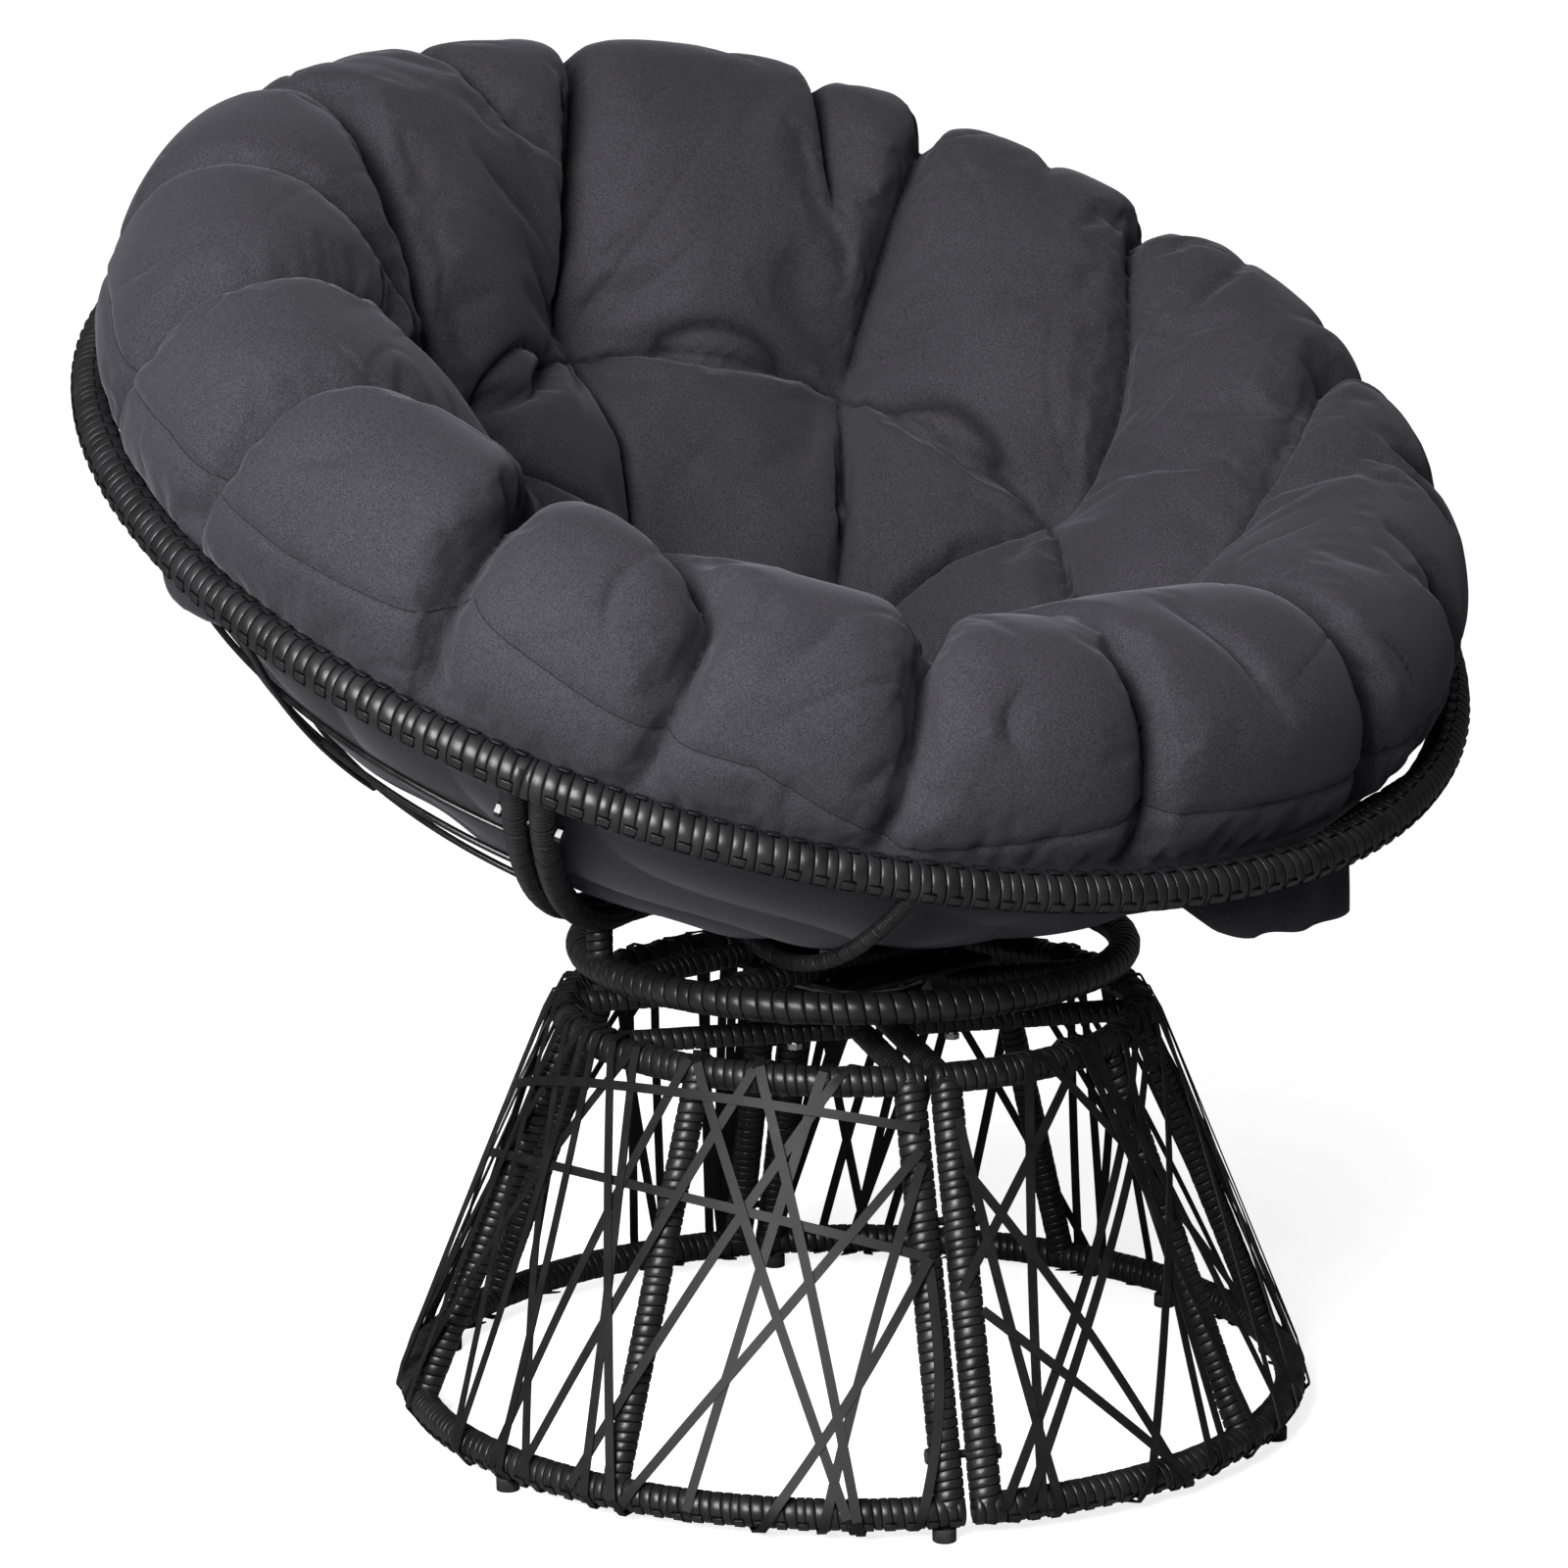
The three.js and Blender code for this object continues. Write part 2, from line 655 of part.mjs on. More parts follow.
// A rear section's cage: level hoops and short upright wires, welded where they cross, resting on the ribs.
function wireCage(middleTurn) {
  const inset = (ribTube - wireTube) / 2 - wireSink;
  const radius = bowlRadius - inset;
  const hoopRadii = hoopShares.map((share) => share * rimRadius);
  const hoops = hoopRadii.map((hoopRadius) => {
    const height = bowlCentreRise - Math.sqrt(radius ** 2 - hoopRadius ** 2);
    const trim = radToDeg(Math.asin((ribTube + ribPairGap) / 2 / hoopRadius));
    const [from, to] = [middleTurn - sectionTurn / 2 + trim, middleTurn + sectionTurn / 2 - trim];
    const steps = Math.round(sectionTurn / hoopStepTurn);
    return tube(new LevelArc(hoopRadius, from, to, height), wireTube, steps, wireSides);
  });
  const innerRadius = Math.min(...hoopRadii) - wireTube;
  const uprights = [-wireTurn, 0, wireTurn].map((turn) => {
    const path = new BowlArc({ turn: middleTurn + turn, inset: inset - wireLap, innerRadius });
    return tube(path, wireTube, wireSteps, wireSides);
  });
  const ribTools = [-1, 1].map((side) => edgeRib(middleTurn, side, seatGap));
  return toGeometry(cut(join(...hoops, ...uprights), sectionRim(middleTurn, seatGap), ...ribTools));
}

// Cushion

// From 0 to 1, how much a tie draws the pad down at a point.
function tieDip(point) {
  const circles = [
    [tieTurns, tieCircleShare],
    [innerTieTurns, innerTieCircleShare],
  ];
  const spread = tieSpreadShare * rimRadius;
  const dips = circles.flatMap(([turns, share]) =>
    turns.map((turn) => {
      const tie = onCircle(share * rimRadius, turn);
      return Math.exp(-((point.x - tie.x) ** 2 + (point.y - tie.y) ** 2) / spread ** 2);
    }),
  );
  return Math.max(...dips);
}

// The turn from a fold's place at the edge to the nearest tie, the shorter way round.
function turnToTie(turn) {
  const gaps = tieTurns.map((tie) => euclideanModulo(tie - turn + 180, 360) - 180);
  return gaps.reduce((least, gap) => (Math.abs(gap) < Math.abs(least) ? gap : least));
}

// The pad's columns, from each fold to the next: the dip is 0 at a lobe's crest and 1 in the deepest folds.
function padColumns() {
  return foldTurns.flatMap((turn, index) => {
    const next = foldTurns[index + 1] ?? foldTurns[0] + 360;
    const depths = [foldDepthShares[index], foldDepthShares[index + 1] ?? foldDepthShares[0]];
    return Array.from({ length: lobeColumns }, (_, column) => {
      const share = column / lobeColumns;
      const gap = lerp(turnToTie(turn), turnToTie(next), share);
      const dip = lerp(...depths, share) * (1 - Math.sin(Math.PI * share) ** lobeFullness);
      return { turn: lerp(turn, next, share), gap, dip };
    });
  });
}

// A column's points from the pad's underside, round its edge and crown, and down into the dish.
function padRows({ turn, gap, dip }) {
  const waist = rimRadius - rimTube / 2 - padClearance;
  const waistAngle = Math.asin(waist / padRadius);
  const forward = Math.cos(degToRad(turn));
  const underside = undersideShares.map((share) => {
    const angle = share * waistAngle;
    return onCircle(padRadius * Math.sin(angle), turn, bowlCentreRise - padRadius * Math.cos(angle));
  });
  const upper = crestRowShares.map((crest, index) => {
    const fold = foldRowShares[index];
    const [radius, height] = crest.map((share, part) => lerp(share, fold[part], dip));
    const fan = foldFanShare * (1 - smoothstep(radius, tieCircleShare, fanStartShare));
    const draw = frontDrawShare * Math.max(0, forward) ** 2 * smoothstep(radius, drawStartShare, 1);
    const drop = frontDropShare * forward;
    const point = onCircle((radius - draw) * rimRadius, turn + fan * gap, (height - drop) * rimRadius);
    point.z -= tieDepthShare * rimRadius * tieDip(point);
    return point;
  });
  return [...underside, onCircle(waist, turn, waistHeightShare * rimRadius), ...upper];
}

function cushion() {
  const grid = padColumns().map(padRows);
  const columns = grid.length;
  const rows = grid[0].length;
  const bottom = new THREE.Vector3(0, 0, bowlCentreRise - padRadius);
  const top = new THREE.Vector3(0, 0, dishHeightShare * rimRadius);
  const points = [...grid.flat(), bottom, top];
  const triangles = [];
  for (let column = 0; column < columns; column += 1) {
    const here = column * rows;
    const next = ((column + 1) % columns) * rows;
    triangles.push(columns * rows, here, next);
    triangles.push(columns * rows + 1, next + rows - 1, here + rows - 1);
    for (let row = 0; row < rows - 1; row += 1) {
      triangles.push(here + row, here + row + 1, next + row);
      triangles.push(next + row, here + row + 1, next + row + 1);
    }
  }
  const geometry = new THREE.BufferGeometry().setFromPoints(points);
  geometry.setIndex(triangles);
  geometry.computeVertexNormals();
  return geometry;
}

function bowl() {
  const group = new THREE.Group();
  group.rotation.x = degToRad(bowlTilt);
  group.position.z = rimHeight;
  add(group, "bowl_front_frame", sectionFrame(sectionTurns.front, [-frontRibTurn, frontRibTurn]), wicker);
  add(group, "bowl_left_frame", sectionFrame(sectionTurns.left, []), wicker);
  add(group, "bowl_right_frame", sectionFrame(sectionTurns.right, []), wicker);
  add(group, "left_wire_cage", wireCage(sectionTurns.left), blackSteel);
  add(group, "right_wire_cage", wireCage(sectionTurns.right), blackSteel);
  seamTurns.forEach((turn, index) => {
    const bolt = add(group, `rim_bolt_${index + 1}`, boltGeometry(2 * ribTube + ribPairGap), blackSteel);
    bolt.position.copy(rimBoltPlace(turn));
    bolt.quaternion.setFromUnitVectors(new THREE.Vector3(0, 0, 1), onCircle(-1, turn + 90));
  });
  add(group, "cushion", cushion(), fabric);
  return group;
}

// Cradle

function cradleFrame() {
  const circle = new LevelArc(cradleRadius, 0, 360, cradleHeight);
  const ring = tube(circle, cradleTube, Math.round(360 / ringStepTurn)).translate(0, swivelY, 0);
  const end = alongSeam(cradleRadius, cradleBarHalfSpan);
  const bars = [-cradleBarHalfSpan, cradleBarHalfSpan].map((y) => {
    const at = (x) => new THREE.Vector3(x, swivelY + y, cradleBarHeight);
    return rod(at(-end), at(end), cradleBarTube);
  });
  const posts = postTops.map((top) =>
    upright(top.x, top.y, cradleHeight, postRise(top), postTube, tubeSides),
  );
  const ribTools = Object.values(sectionTurns).flatMap((middleTurn) =>
    [-1, 1].map((side) => edgeRib(middleTurn, side, seatGap).applyMatrix4(bowlPlace)),
  );
  const boltHoles = plateBoltPlaces(cradleBarHalfSpan).map(([x, y]) =>
    upright(x, swivelY + y, cradleBarHeight - cradleBarTube, cradleBarHeight + cradleBarTube, boltHoleWidth),
  );
  const holes = [...boltHoles, ...postTops.map(postBoltHole)];
  return toGeometry(cut(join(ring, ...bars, ...posts), ...ribTools, ...holes));
}

function postBolt(top) {
  const low = cradleHeight - cradleTube / 2 - seatGap;
  const shank = upright(0, 0, low - boltHeadHeight / 2, postBoltTip(top), 2 * boltRadius);
  return toGeometry(join(shank, hexagon(low - boltHeadHeight)));
}

function cradle() {
  const group = new THREE.Group();
  add(group, "cradle", cradleFrame(), wicker);
  postTops.forEach((top, index) => {
    add(group, `post_bolt_${index + 1}`, postBolt(top), blackSteel).position.set(top.x, top.y, 0);
  });
  return group;
}

chair.add(base(), swivel(), cradle(), bowl());

export default chair;
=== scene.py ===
import math
import random

import bpy
import numpy as np
from mathutils import Matrix, Vector
from mathutils.bvhtree import BVHTree
from mathutils.kdtree import KDTree


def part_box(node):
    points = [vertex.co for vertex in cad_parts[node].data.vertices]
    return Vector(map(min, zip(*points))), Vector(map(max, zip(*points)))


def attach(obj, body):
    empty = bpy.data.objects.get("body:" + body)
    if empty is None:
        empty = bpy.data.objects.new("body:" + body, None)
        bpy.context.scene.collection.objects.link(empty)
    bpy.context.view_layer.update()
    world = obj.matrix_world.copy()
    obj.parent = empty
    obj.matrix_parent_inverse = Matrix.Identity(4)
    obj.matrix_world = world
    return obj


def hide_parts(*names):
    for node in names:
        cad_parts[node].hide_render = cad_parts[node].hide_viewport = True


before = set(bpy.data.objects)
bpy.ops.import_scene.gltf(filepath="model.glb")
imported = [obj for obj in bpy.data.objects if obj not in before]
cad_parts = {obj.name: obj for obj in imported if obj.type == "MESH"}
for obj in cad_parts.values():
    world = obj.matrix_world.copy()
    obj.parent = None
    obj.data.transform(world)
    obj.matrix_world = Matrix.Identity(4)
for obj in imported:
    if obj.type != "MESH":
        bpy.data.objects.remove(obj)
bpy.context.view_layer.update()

# The camera stands at the photograph's angle: in front of the chair, to its right-hand side and looking
# down a little. The frame is wider on the left of the swivel than on its right, so the view is shifted.
swivel_y = -0.074
camera_distance = 3.872
camera_height = 1.301
camera_turn = math.radians(43.19)
camera_dip = math.radians(12.28)
view_shift = -0.044
focal_length = 126.75

view_x = -camera_distance * math.sin(camera_turn)
view_y = swivel_y - camera_distance * math.cos(camera_turn)
bpy.ops.object.camera_add(
    location=(view_x, view_y, camera_height),
    rotation=(math.pi / 2 - camera_dip, 0, -camera_turn),
)
camera = bpy.context.object
camera.data.lens = focal_length
camera.data.shift_x = view_shift
bpy.context.scene.camera = camera

# One flat strand of resin is wound round each tube of the frame, turn beside turn. Its section is modelled
# once as a line of points, one turn wide and one groove deep, and each tube's winding is screwed from it.
groove_depth = 0.0014
groove_floor_share = 0.55
wobble_share = 0.09
swell_share = 0.012
slip_wave_turns = (1.17, 0.53)
swell_wave_turns = 0.41
wave_offset_rate = 1e4
strip_width = 0.0062
strip_thickness = 0.0016
strip_sink_share = 0.1
strip_shadow = 0.0011
patch_length_share = 0.92
shadow_length_share = 0.98
shadow_height_share = 0.62
join_depth = 0.0012
join_width = 0.0013
wrap_section_shares = ((0.045, 0.7), (0.11, 0.3), (0.69, 0.0), (0.11, -0.3), (0.045, -0.7))


def select_only(*pieces):
    bpy.ops.object.select_all(action="DESELECT")
    for piece in pieces:
        piece.select_set(True)
    bpy.context.view_layer.objects.active = pieces[0]


def apply_modifiers(piece):
    select_only(piece)
    for modifier in list(piece.modifiers):
        bpy.ops.object.modifier_apply(modifier=modifier.name)


def vertex_rows(piece):
    places = np.zeros(len(piece.data.vertices) * 3)
    piece.data.vertices.foreach_get("co", places)
    return places.reshape(-1, 3)


def move_vertices(piece, rule):
    """Moves each vertex of a piece to where the rule puts its place, given as an array of rows."""
    piece.data.vertices.foreach_set("co", rule(vertex_rows(piece)).ravel())
    piece.data.update()


class Socket:
    """A shader value that Python's own signs work on, each adding its Math node."""

    def __init__(self, tree, link):
        self.tree = tree
        self.link = link

    def math(self, operation, *others):
        return self.tree.node("ShaderNodeMath", {"operation": operation}, [self, *others])

    def __add__(self, other):
        return self.math("ADD", other)

    def __sub__(self, other):
        return self.math("SUBTRACT", other)

    def __rsub__(self, other):
        return self.tree.node("ShaderNodeMath", {"operation": "SUBTRACT"}, [other, self])

    def __mul__(self, other):
        return self.math("MULTIPLY", other)

    __radd__ = __add__
    __rmul__ = __mul__


class Finish:
    """A new material or world and its nodes. node() takes a type, its settings and its sockets' values or
    links, and noise(), ramp() and bump() are its short forms."""

    def __init__(self, name, kind="materials", shader="Principled BSDF"):
        self.material = getattr(bpy.data, kind).new(name)
        self.material.use_nodes = True
        self.nodes = self.material.node_tree.nodes
        self.shader = self.nodes[shader]

    def node(self, kind, settings=None, sockets=None, output=0):
        made = self.nodes.new(kind)
        for key, value in (settings or {}).items():
            if key == "stops":
                for stop, (position, color) in zip(self.stops(made, len(value)), value):
                    stop.position = position
                    stop.color = color
            else:
                setattr(made, key, value)
        pairs = sockets.items() if isinstance(sockets, dict) else enumerate(sockets or [])
        for key, value in pairs:
            self.set(made.inputs[key], value)
        return Socket(self, made.outputs[output])

    def stops(self, made, count):
        while len(made.color_ramp.elements) < count:
            made.color_ramp.elements.new(1)
        return made.color_ramp.elements

    def set(self, socket, value):
        if isinstance(value, Socket):
            self.material.node_tree.links.new(value.link, socket)
        else:
            socket.default_value = value

    def noise(self, scale, detail):
        place_on = self.node("ShaderNodeTexCoord", output="Object")
        return self.node("ShaderNodeTexNoise", {}, {"Vector": place_on, "Scale": scale, "Detail": detail})

    def ramp(self, value, *stops):
        return self.node("ShaderNodeValToRGB", {"stops": stops}, [value])

    def bump(self, height, strength, distance):
        sockets = {"Strength": strength, "Distance": distance, "Height": height}
        return self.node("ShaderNodeBump", {}, sockets)

    def finish(self, **values):
        for key, value in values.items():
            self.set(self.shader.inputs[key.replace("_", " ")], value)
        return self.material


def dress(piece, material):
    piece.data.materials.clear()
    piece.data.materials.append(material)
    return piece


def shaded(color, share):
    return tuple(share * part for part in color[:3]) + (1,)


wicker_dark = (0.006, 0.006, 0.0064, 1)
wicker_light = (0.014, 0.014, 0.015, 1)
painted_groove_shade = (0.0008, 0.0008, 0.0008, 1)


def wicker_finish(name, shade=1.0, dullness=0.0, specular=0.36):
    """Extruded resin strand: near black and satin, a little uneven in its shade, with a fine grain."""
    paint = Finish(name)
    cloud = paint.noise(scale=55.0, detail=3.0)
    grain = paint.noise(scale=900.0, detail=4.0)
    color = paint.ramp(cloud, (0.3, shaded(wicker_dark, shade)), (0.7, shaded(wicker_light, shade)))
    bump = paint.bump(grain, strength=0.25, distance=0.0004)
    rough = 0.24 + dullness + 0.16 * cloud + 0.08 * grain
    return paint.finish(Base_Color=color, Roughness=rough, Normal=bump, Specular_IOR_Level=specular)


def groove_shade_finish(name):
    """Painted shade for the bottom of the gap between two turns of strand: near black and dull, a little
    mottled.
    """
    paint = Finish(name)
    shade_mottle = paint.noise(scale=400.0, detail=2.0)
    color = paint.ramp(shade_mottle, (0.4, painted_groove_shade), (0.9, wicker_dark))
    return paint.finish(Base_Color=color, Roughness=0.85 + 0.1 * shade_mottle, Specular_IOR_Level=0.05)


wicker = wicker_finish("resin_strand")
# The gap finish is painted shade: near black, laid on the deep faces between turns and on the plates under
# the strips.
groove = groove_shade_finish("strand_gap_painted_shade")

bpy.ops.mesh.primitive_plane_add(size=1, location=(0.5, 0.5, -1))
wrap_section = bpy.context.object
wrap_section.name = "wrap_section"
bpy.ops.object.transform_apply()
bpy.ops.object.mode_set(mode="EDIT")
bpy.ops.mesh.select_all(action="DESELECT")
bpy.ops.object.mode_set(mode="OBJECT")
for vertex in wrap_section.data.vertices[1:]:
    vertex.select = True
bpy.ops.object.mode_set(mode="EDIT")
bpy.ops.mesh.select_mode(type="VERT")
bpy.ops.mesh.delete(type="VERT")
bpy.ops.mesh.select_all(action="SELECT")
for step, rise in wrap_section_shares:
    bpy.ops.mesh.extrude_region_move(TRANSFORM_OT_translate={"value": (step, 0, rise)})
bpy.ops.object.mode_set(mode="OBJECT")


def block(length, width, height):
    bpy.ops.mesh.primitive_cube_add(size=1)
    made = bpy.context.object
    made.scale = (length, width, height)
    bpy.ops.object.transform_apply()
    return made


def add_strips(winding, radius, pitch, length, angle):
    """The lengthwise strip woven over every other turn: square patches, each on a slightly larger near-black
    plate that paints a shadow line round it.
    """
    shadow = block(
        pitch * shadow_length_share, strip_width + 2 * strip_shadow, strip_thickness * shadow_height_share
    )
    patch = block(pitch * patch_length_share, strip_width, strip_thickness)
    bevel = patch.modifiers.new("edges", "BEVEL")
    bevel.width = strip_thickness / 4
    bevel.segments = 2
    apply_modifiers(patch)
    # The slightly larger plate under each patch is a painted shadow, in the near-black gap finish.
    for part, index in ((shadow, 1), (patch, 0)):
        dress(part, wicker)
        part.data.materials.append(groove)
        for face in part.data.polygons:
            face.material_index = index
    select_only(patch, shadow)
    bpy.ops.object.join()
    row = patch.modifiers.new("row", "ARRAY")
    row.use_relative_offset = False
    row.use_constant_offset = True
    row.constant_offset_displace = (2 * pitch, 0, 0)
    row.count = int((length - pitch) / (2 * pitch))
    apply_modifiers(patch)
    patch.location = (pitch, 0, radius - strip_thickness * strip_sink_share)
    bpy.ops.object.transform_apply()
    patch.rotation_euler.x = angle
    bpy.ops.object.transform_apply()
    select_only(winding, patch)
    bpy.ops.object.join()


def wind(name, diameter, length, pitch, sides=14, ring_radius=None, closed=False, strip_angles=(), joins=0):
    """A tube wound with strand, along X from 0, or bent round Z from the front towards -X."""
    turns = math.ceil(length / pitch) + 2
    if closed:
        pitch = length / round(length / pitch)
    winding = wrap_section.copy()
    winding.data = wrap_section.data.copy()
    winding.name = name
    bpy.context.scene.collection.objects.link(winding)
    radius = diameter / 2
    move_vertices(winding, lambda p: (p + (-1, 0, 0)) * (pitch, 0, groove_depth) + (0, 0, radius))
    screw = winding.modifiers.new("turns", "SCREW")
    screw.axis = "X"
    screw.screw_offset = pitch
    screw.iterations = turns
    screw.steps = sides
    screw.render_steps = sides
    apply_modifiers(winding)
    bpy.ops.object.mode_set(mode="EDIT")
    bpy.ops.mesh.select_all(action="SELECT")
    bpy.ops.mesh.remove_doubles(threshold=pitch / 100)
    fill = not closed
    bpy.ops.mesh.bisect(plane_co=(0, 0, 0), plane_no=(1, 0, 0), use_fill=fill, clear_inner=True)
    bpy.ops.mesh.select_all(action="SELECT")
    bpy.ops.mesh.bisect(plane_co=(length, 0, 0), plane_no=(1, 0, 0), use_fill=fill, clear_outer=True)
    bpy.ops.object.mode_set(mode="OBJECT")
    dress(winding, wicker)
    winding.data.materials.append(groove)
    # Faces deep in the groove between turns take the near-black gap finish, which is painted shade.
    groove_radius = (radius - groove_depth * groove_floor_share) * math.cos(math.pi / sides)
    for face in winding.data.polygons:
        centre = face.center
        deep = math.hypot(centre.y, centre.z) < groove_radius
        face.material_index = int(deep and pitch / 4 < centre.x < length - pitch / 4)

    def wobble(places):
        x = places[:, 0]
        phase = radius * wave_offset_rate
        slow, quick = slip_wave_turns
        slip = np.sin(x / pitch / slow + phase) + np.sin(x / pitch / quick + 2 * phase)
        ends = np.clip(np.minimum(x, length - x) / (3 * pitch), 0, 1)
        swell = 1 + swell_share * np.sin(x / pitch / swell_wave_turns + phase) * ends
        if joins:
            away = np.abs((x + joins / 2) % joins - joins / 2)
            swell = swell - join_depth / radius * np.exp(-((away / join_width) ** 2)) * ends
        slipped = x + wobble_share * pitch * slip * ends
        return np.stack([slipped, places[:, 1] * swell, places[:, 2] * swell], 1)

    move_vertices(winding, wobble)
    for strip_angle in strip_angles:
        add_strips(winding, radius, pitch, length, strip_angle)
    if ring_radius:
        bpy.ops.curve.primitive_bezier_circle_add(radius=ring_radius)
        path = bpy.context.object
        path.data.resolution_u = 64
        bend = winding.modifiers.new("bend", "CURVE")
        bend.object = path
        apply_modifiers(winding)
        bpy.data.objects.remove(path)
    select_only(winding)
    bpy.ops.object.mode_set(mode="EDIT")
    bpy.ops.mesh.select_all(action="SELECT")
    if closed:
        bpy.ops.mesh.remove_doubles(threshold=pitch / 50)
    bpy.ops.mesh.normals_make_consistent(inside=False)
    bpy.ops.object.mode_set(mode="OBJECT")
    bpy.ops.object.shade_smooth()
    return winding


def place(piece, matrix):
    """Moves a finished piece's mesh, and leaves its object at the origin."""
    piece.data.transform(matrix)
    return piece


def along(start, end):
    """The matrix that lays a tube made along X from one point towards another."""
    start, end = Vector(start), Vector(end)
    turn = (end - start).to_track_quat("X", "Z").to_matrix().to_4x4()
    return Matrix.Translation(start) @ turn


def turn_matrix(degrees):
    """A turn round Z by the chair's own count: 0 is the front, and 90 is towards -X."""
    return Matrix.Rotation(math.radians(-degrees), 4, "Z")


def on_circle(radius, degrees, height=0.0):
    angle = math.radians(degrees)
    return Vector((-radius * math.sin(angle), -radius * math.cos(angle), height))


def joined(name, pieces):
    select_only(*pieces)
    bpy.ops.object.join()
    pieces[0].name = name
    return pieces[0]


def stand_for(piece, body, slot, *nodes):
    """The finished piece rides on a body and replaces nodes there; slot is not used."""
    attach(piece, body)
    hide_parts(*nodes)


# The base is bolted together from two halves. Each has a bent lower ring, wound with strand and with a
# lengthwise strip woven over every other turn on its outer lower side.
base_radius = 0.320
base_top_radius = 0.208
base_top_height = 0.294
base_tube = 0.022
base_turn = 29
base_ring_height = 0.021
ring_pitch = 0.0072
lower_strip_angles = (math.radians(-125),)
seam_gap = 0.008
half_turns = {"left": base_turn, "right": base_turn + 180}
base_matrices = {
    side: Matrix.Translation((0, swivel_y, 0)) @ turn_matrix(turn) for side, turn in half_turns.items()
}


def half_ring(name, radius, height, strip_angles=()):
    trim = math.degrees(math.asin(seam_gap / 2 / radius))
    length = radius * math.radians(180 - 2 * trim)
    ring = wind(name, base_tube, length, ring_pitch, ring_radius=radius, strip_angles=strip_angles)
    return place(ring, Matrix.Translation((0, 0, height)) @ turn_matrix(trim))


for side, matrix in base_matrices.items():
    lower_ring = half_ring(f"{side}_lower_ring_wound", base_radius, base_ring_height, lower_strip_angles)
    stand_for(place(lower_ring, matrix), "base", "wicker", f"{side}_lower_ring")

# Each half's top frame is a half ring with a bar along the seam and two cross bars under the swivel. All are
# tubes, welded together, and all are wound before the frame is bolted to its neighbour.
bar_tube = 0.017
bar_half_span = 0.060
bar_aside = seam_gap / 2 + bar_tube / 2


def along_seam(radius, aside):
    return math.sqrt(radius**2 - aside**2)


def bar(name, start, end):
    length = (Vector(end) - Vector(start)).length
    return place(wind(name, bar_tube, length, ring_pitch, sides=12), along(start, end))


for side, matrix in base_matrices.items():
    ring = half_ring(f"{side}_top_ring", base_top_radius, base_top_height)
    seam_end = along_seam(base_top_radius, bar_aside)
    seam_bar = bar(
        "seam_bar", (-bar_aside, -seam_end, base_top_height), (-bar_aside, seam_end, base_top_height)
    )
    cross_end = along_seam(base_top_radius, bar_half_span)
    cross_bars = [
        bar("cross_bar", (-bar_aside, y, base_top_height), (-cross_end, y, base_top_height))
        for y in (-bar_half_span, bar_half_span)
    ]
    top_frame = joined(f"{side}_top_frame_wound", [ring, seam_bar, *cross_bars])
    stand_for(place(top_frame, matrix), "base", "wicker", f"{side}_top_frame")

# Five legs, each a tube wound with strand, stand in each half between its lower ring and its top frame. The
# first and the last of them stand at the seam, beside the other half's, and are bolted to them.
leg_tube = 0.018
leg_wound = 0.0195
seam_leg_wound = 0.0225
leg_pitch = 0.0068
leg_spacing = 45
legs_per_half = 5
seam_legs = (0, legs_per_half - 1)
seam_leg_aside = seam_gap / 2 + leg_tube / 2


def leg_ends(number):
    """The middles of a leg's two ends, counted from 0 at the half's front seam to 4 at its back seam."""
    if number in seam_legs:
        side = -1 if number == 0 else 1
        low_y = side * along_seam(base_radius, seam_leg_aside)
        high_y = side * along_seam(base_top_radius, seam_leg_aside)
        low = Vector((-seam_leg_aside, low_y, base_ring_height))
        return low, Vector((-seam_leg_aside, high_y, base_top_height))
    turn = number * leg_spacing
    low = on_circle(base_radius, turn, base_ring_height)
    return low, on_circle(base_top_radius, turn, base_top_height)


for side, matrix in base_matrices.items():
    for number in range(legs_per_half):
        low, high = leg_ends(number)
        wound = seam_leg_wound if number in seam_legs else leg_wound
        leg = wind(f"{side}_leg_{number + 1}_wound", wound, (high - low).length, leg_pitch)
        stand_for(place(leg, matrix @ along(low, high)), "base", "wicker", f"{side}_leg_{number + 1}")

# The lacing is flat resin strand, laid criss-cross over the outside of each half and looped round both
# rings. It is cut and laid out flat, in the cone's own development, and then rolled round the legs.
strand_width = 0.0066
strand_thickness = 0.0011
strand_length_steps = 26
strand_lift = 0.0009
strand_layers = 4
strand_clearance = 0.0008
loop_clearance = 0.0012
lacing_lean = math.atan2(base_radius - base_top_radius, base_top_height - base_ring_height)
lacing_length = math.hypot(base_radius - base_top_radius, base_top_height - base_ring_height)
loop_length = 0.034

# Each strand's place along the half, in degrees, and its fall, 0 at the top ring and 1 at the lower ring, at
# its start and its end, and how far it bows sideways, in millimetres.
left_front_strands = (
    ((17, 0), (50, 1), 0),
    ((33, 0), (58, 1), 2),
    ((43, 0), (15, 1), -2),
    ((31, 0), (14, 1), 3),
    ((20, 0), (34, 1), 0),
    ((3, 0.17), (42, 1), 4),
    ((3, 0.2), (17, 1), -3),
    ((3, 0.42), (24, 1), 6),
    ((3, 0.44), (7, 1), 12),
    ((46, 0), (63, 1), -3),
    ((58, 0), (48, 1), 2),
    ((64, 0), (44, 1), 0),
    ((60, 0), (92, 1), 3),
    ((82, 0), (57, 1), -5),
    ((70, 0), (62, 1), 4),
    ((74, 0), (71, 1), 6),
    ((77, 0), (101, 1), -3),
    ((94, 0), (72, 1), 5),
    ((85, 0), (88, 1), -6),
    ((3, 0.12), (96, 0.2), 0),
    ((3, 0.42), (100, 0.4), 0),
)
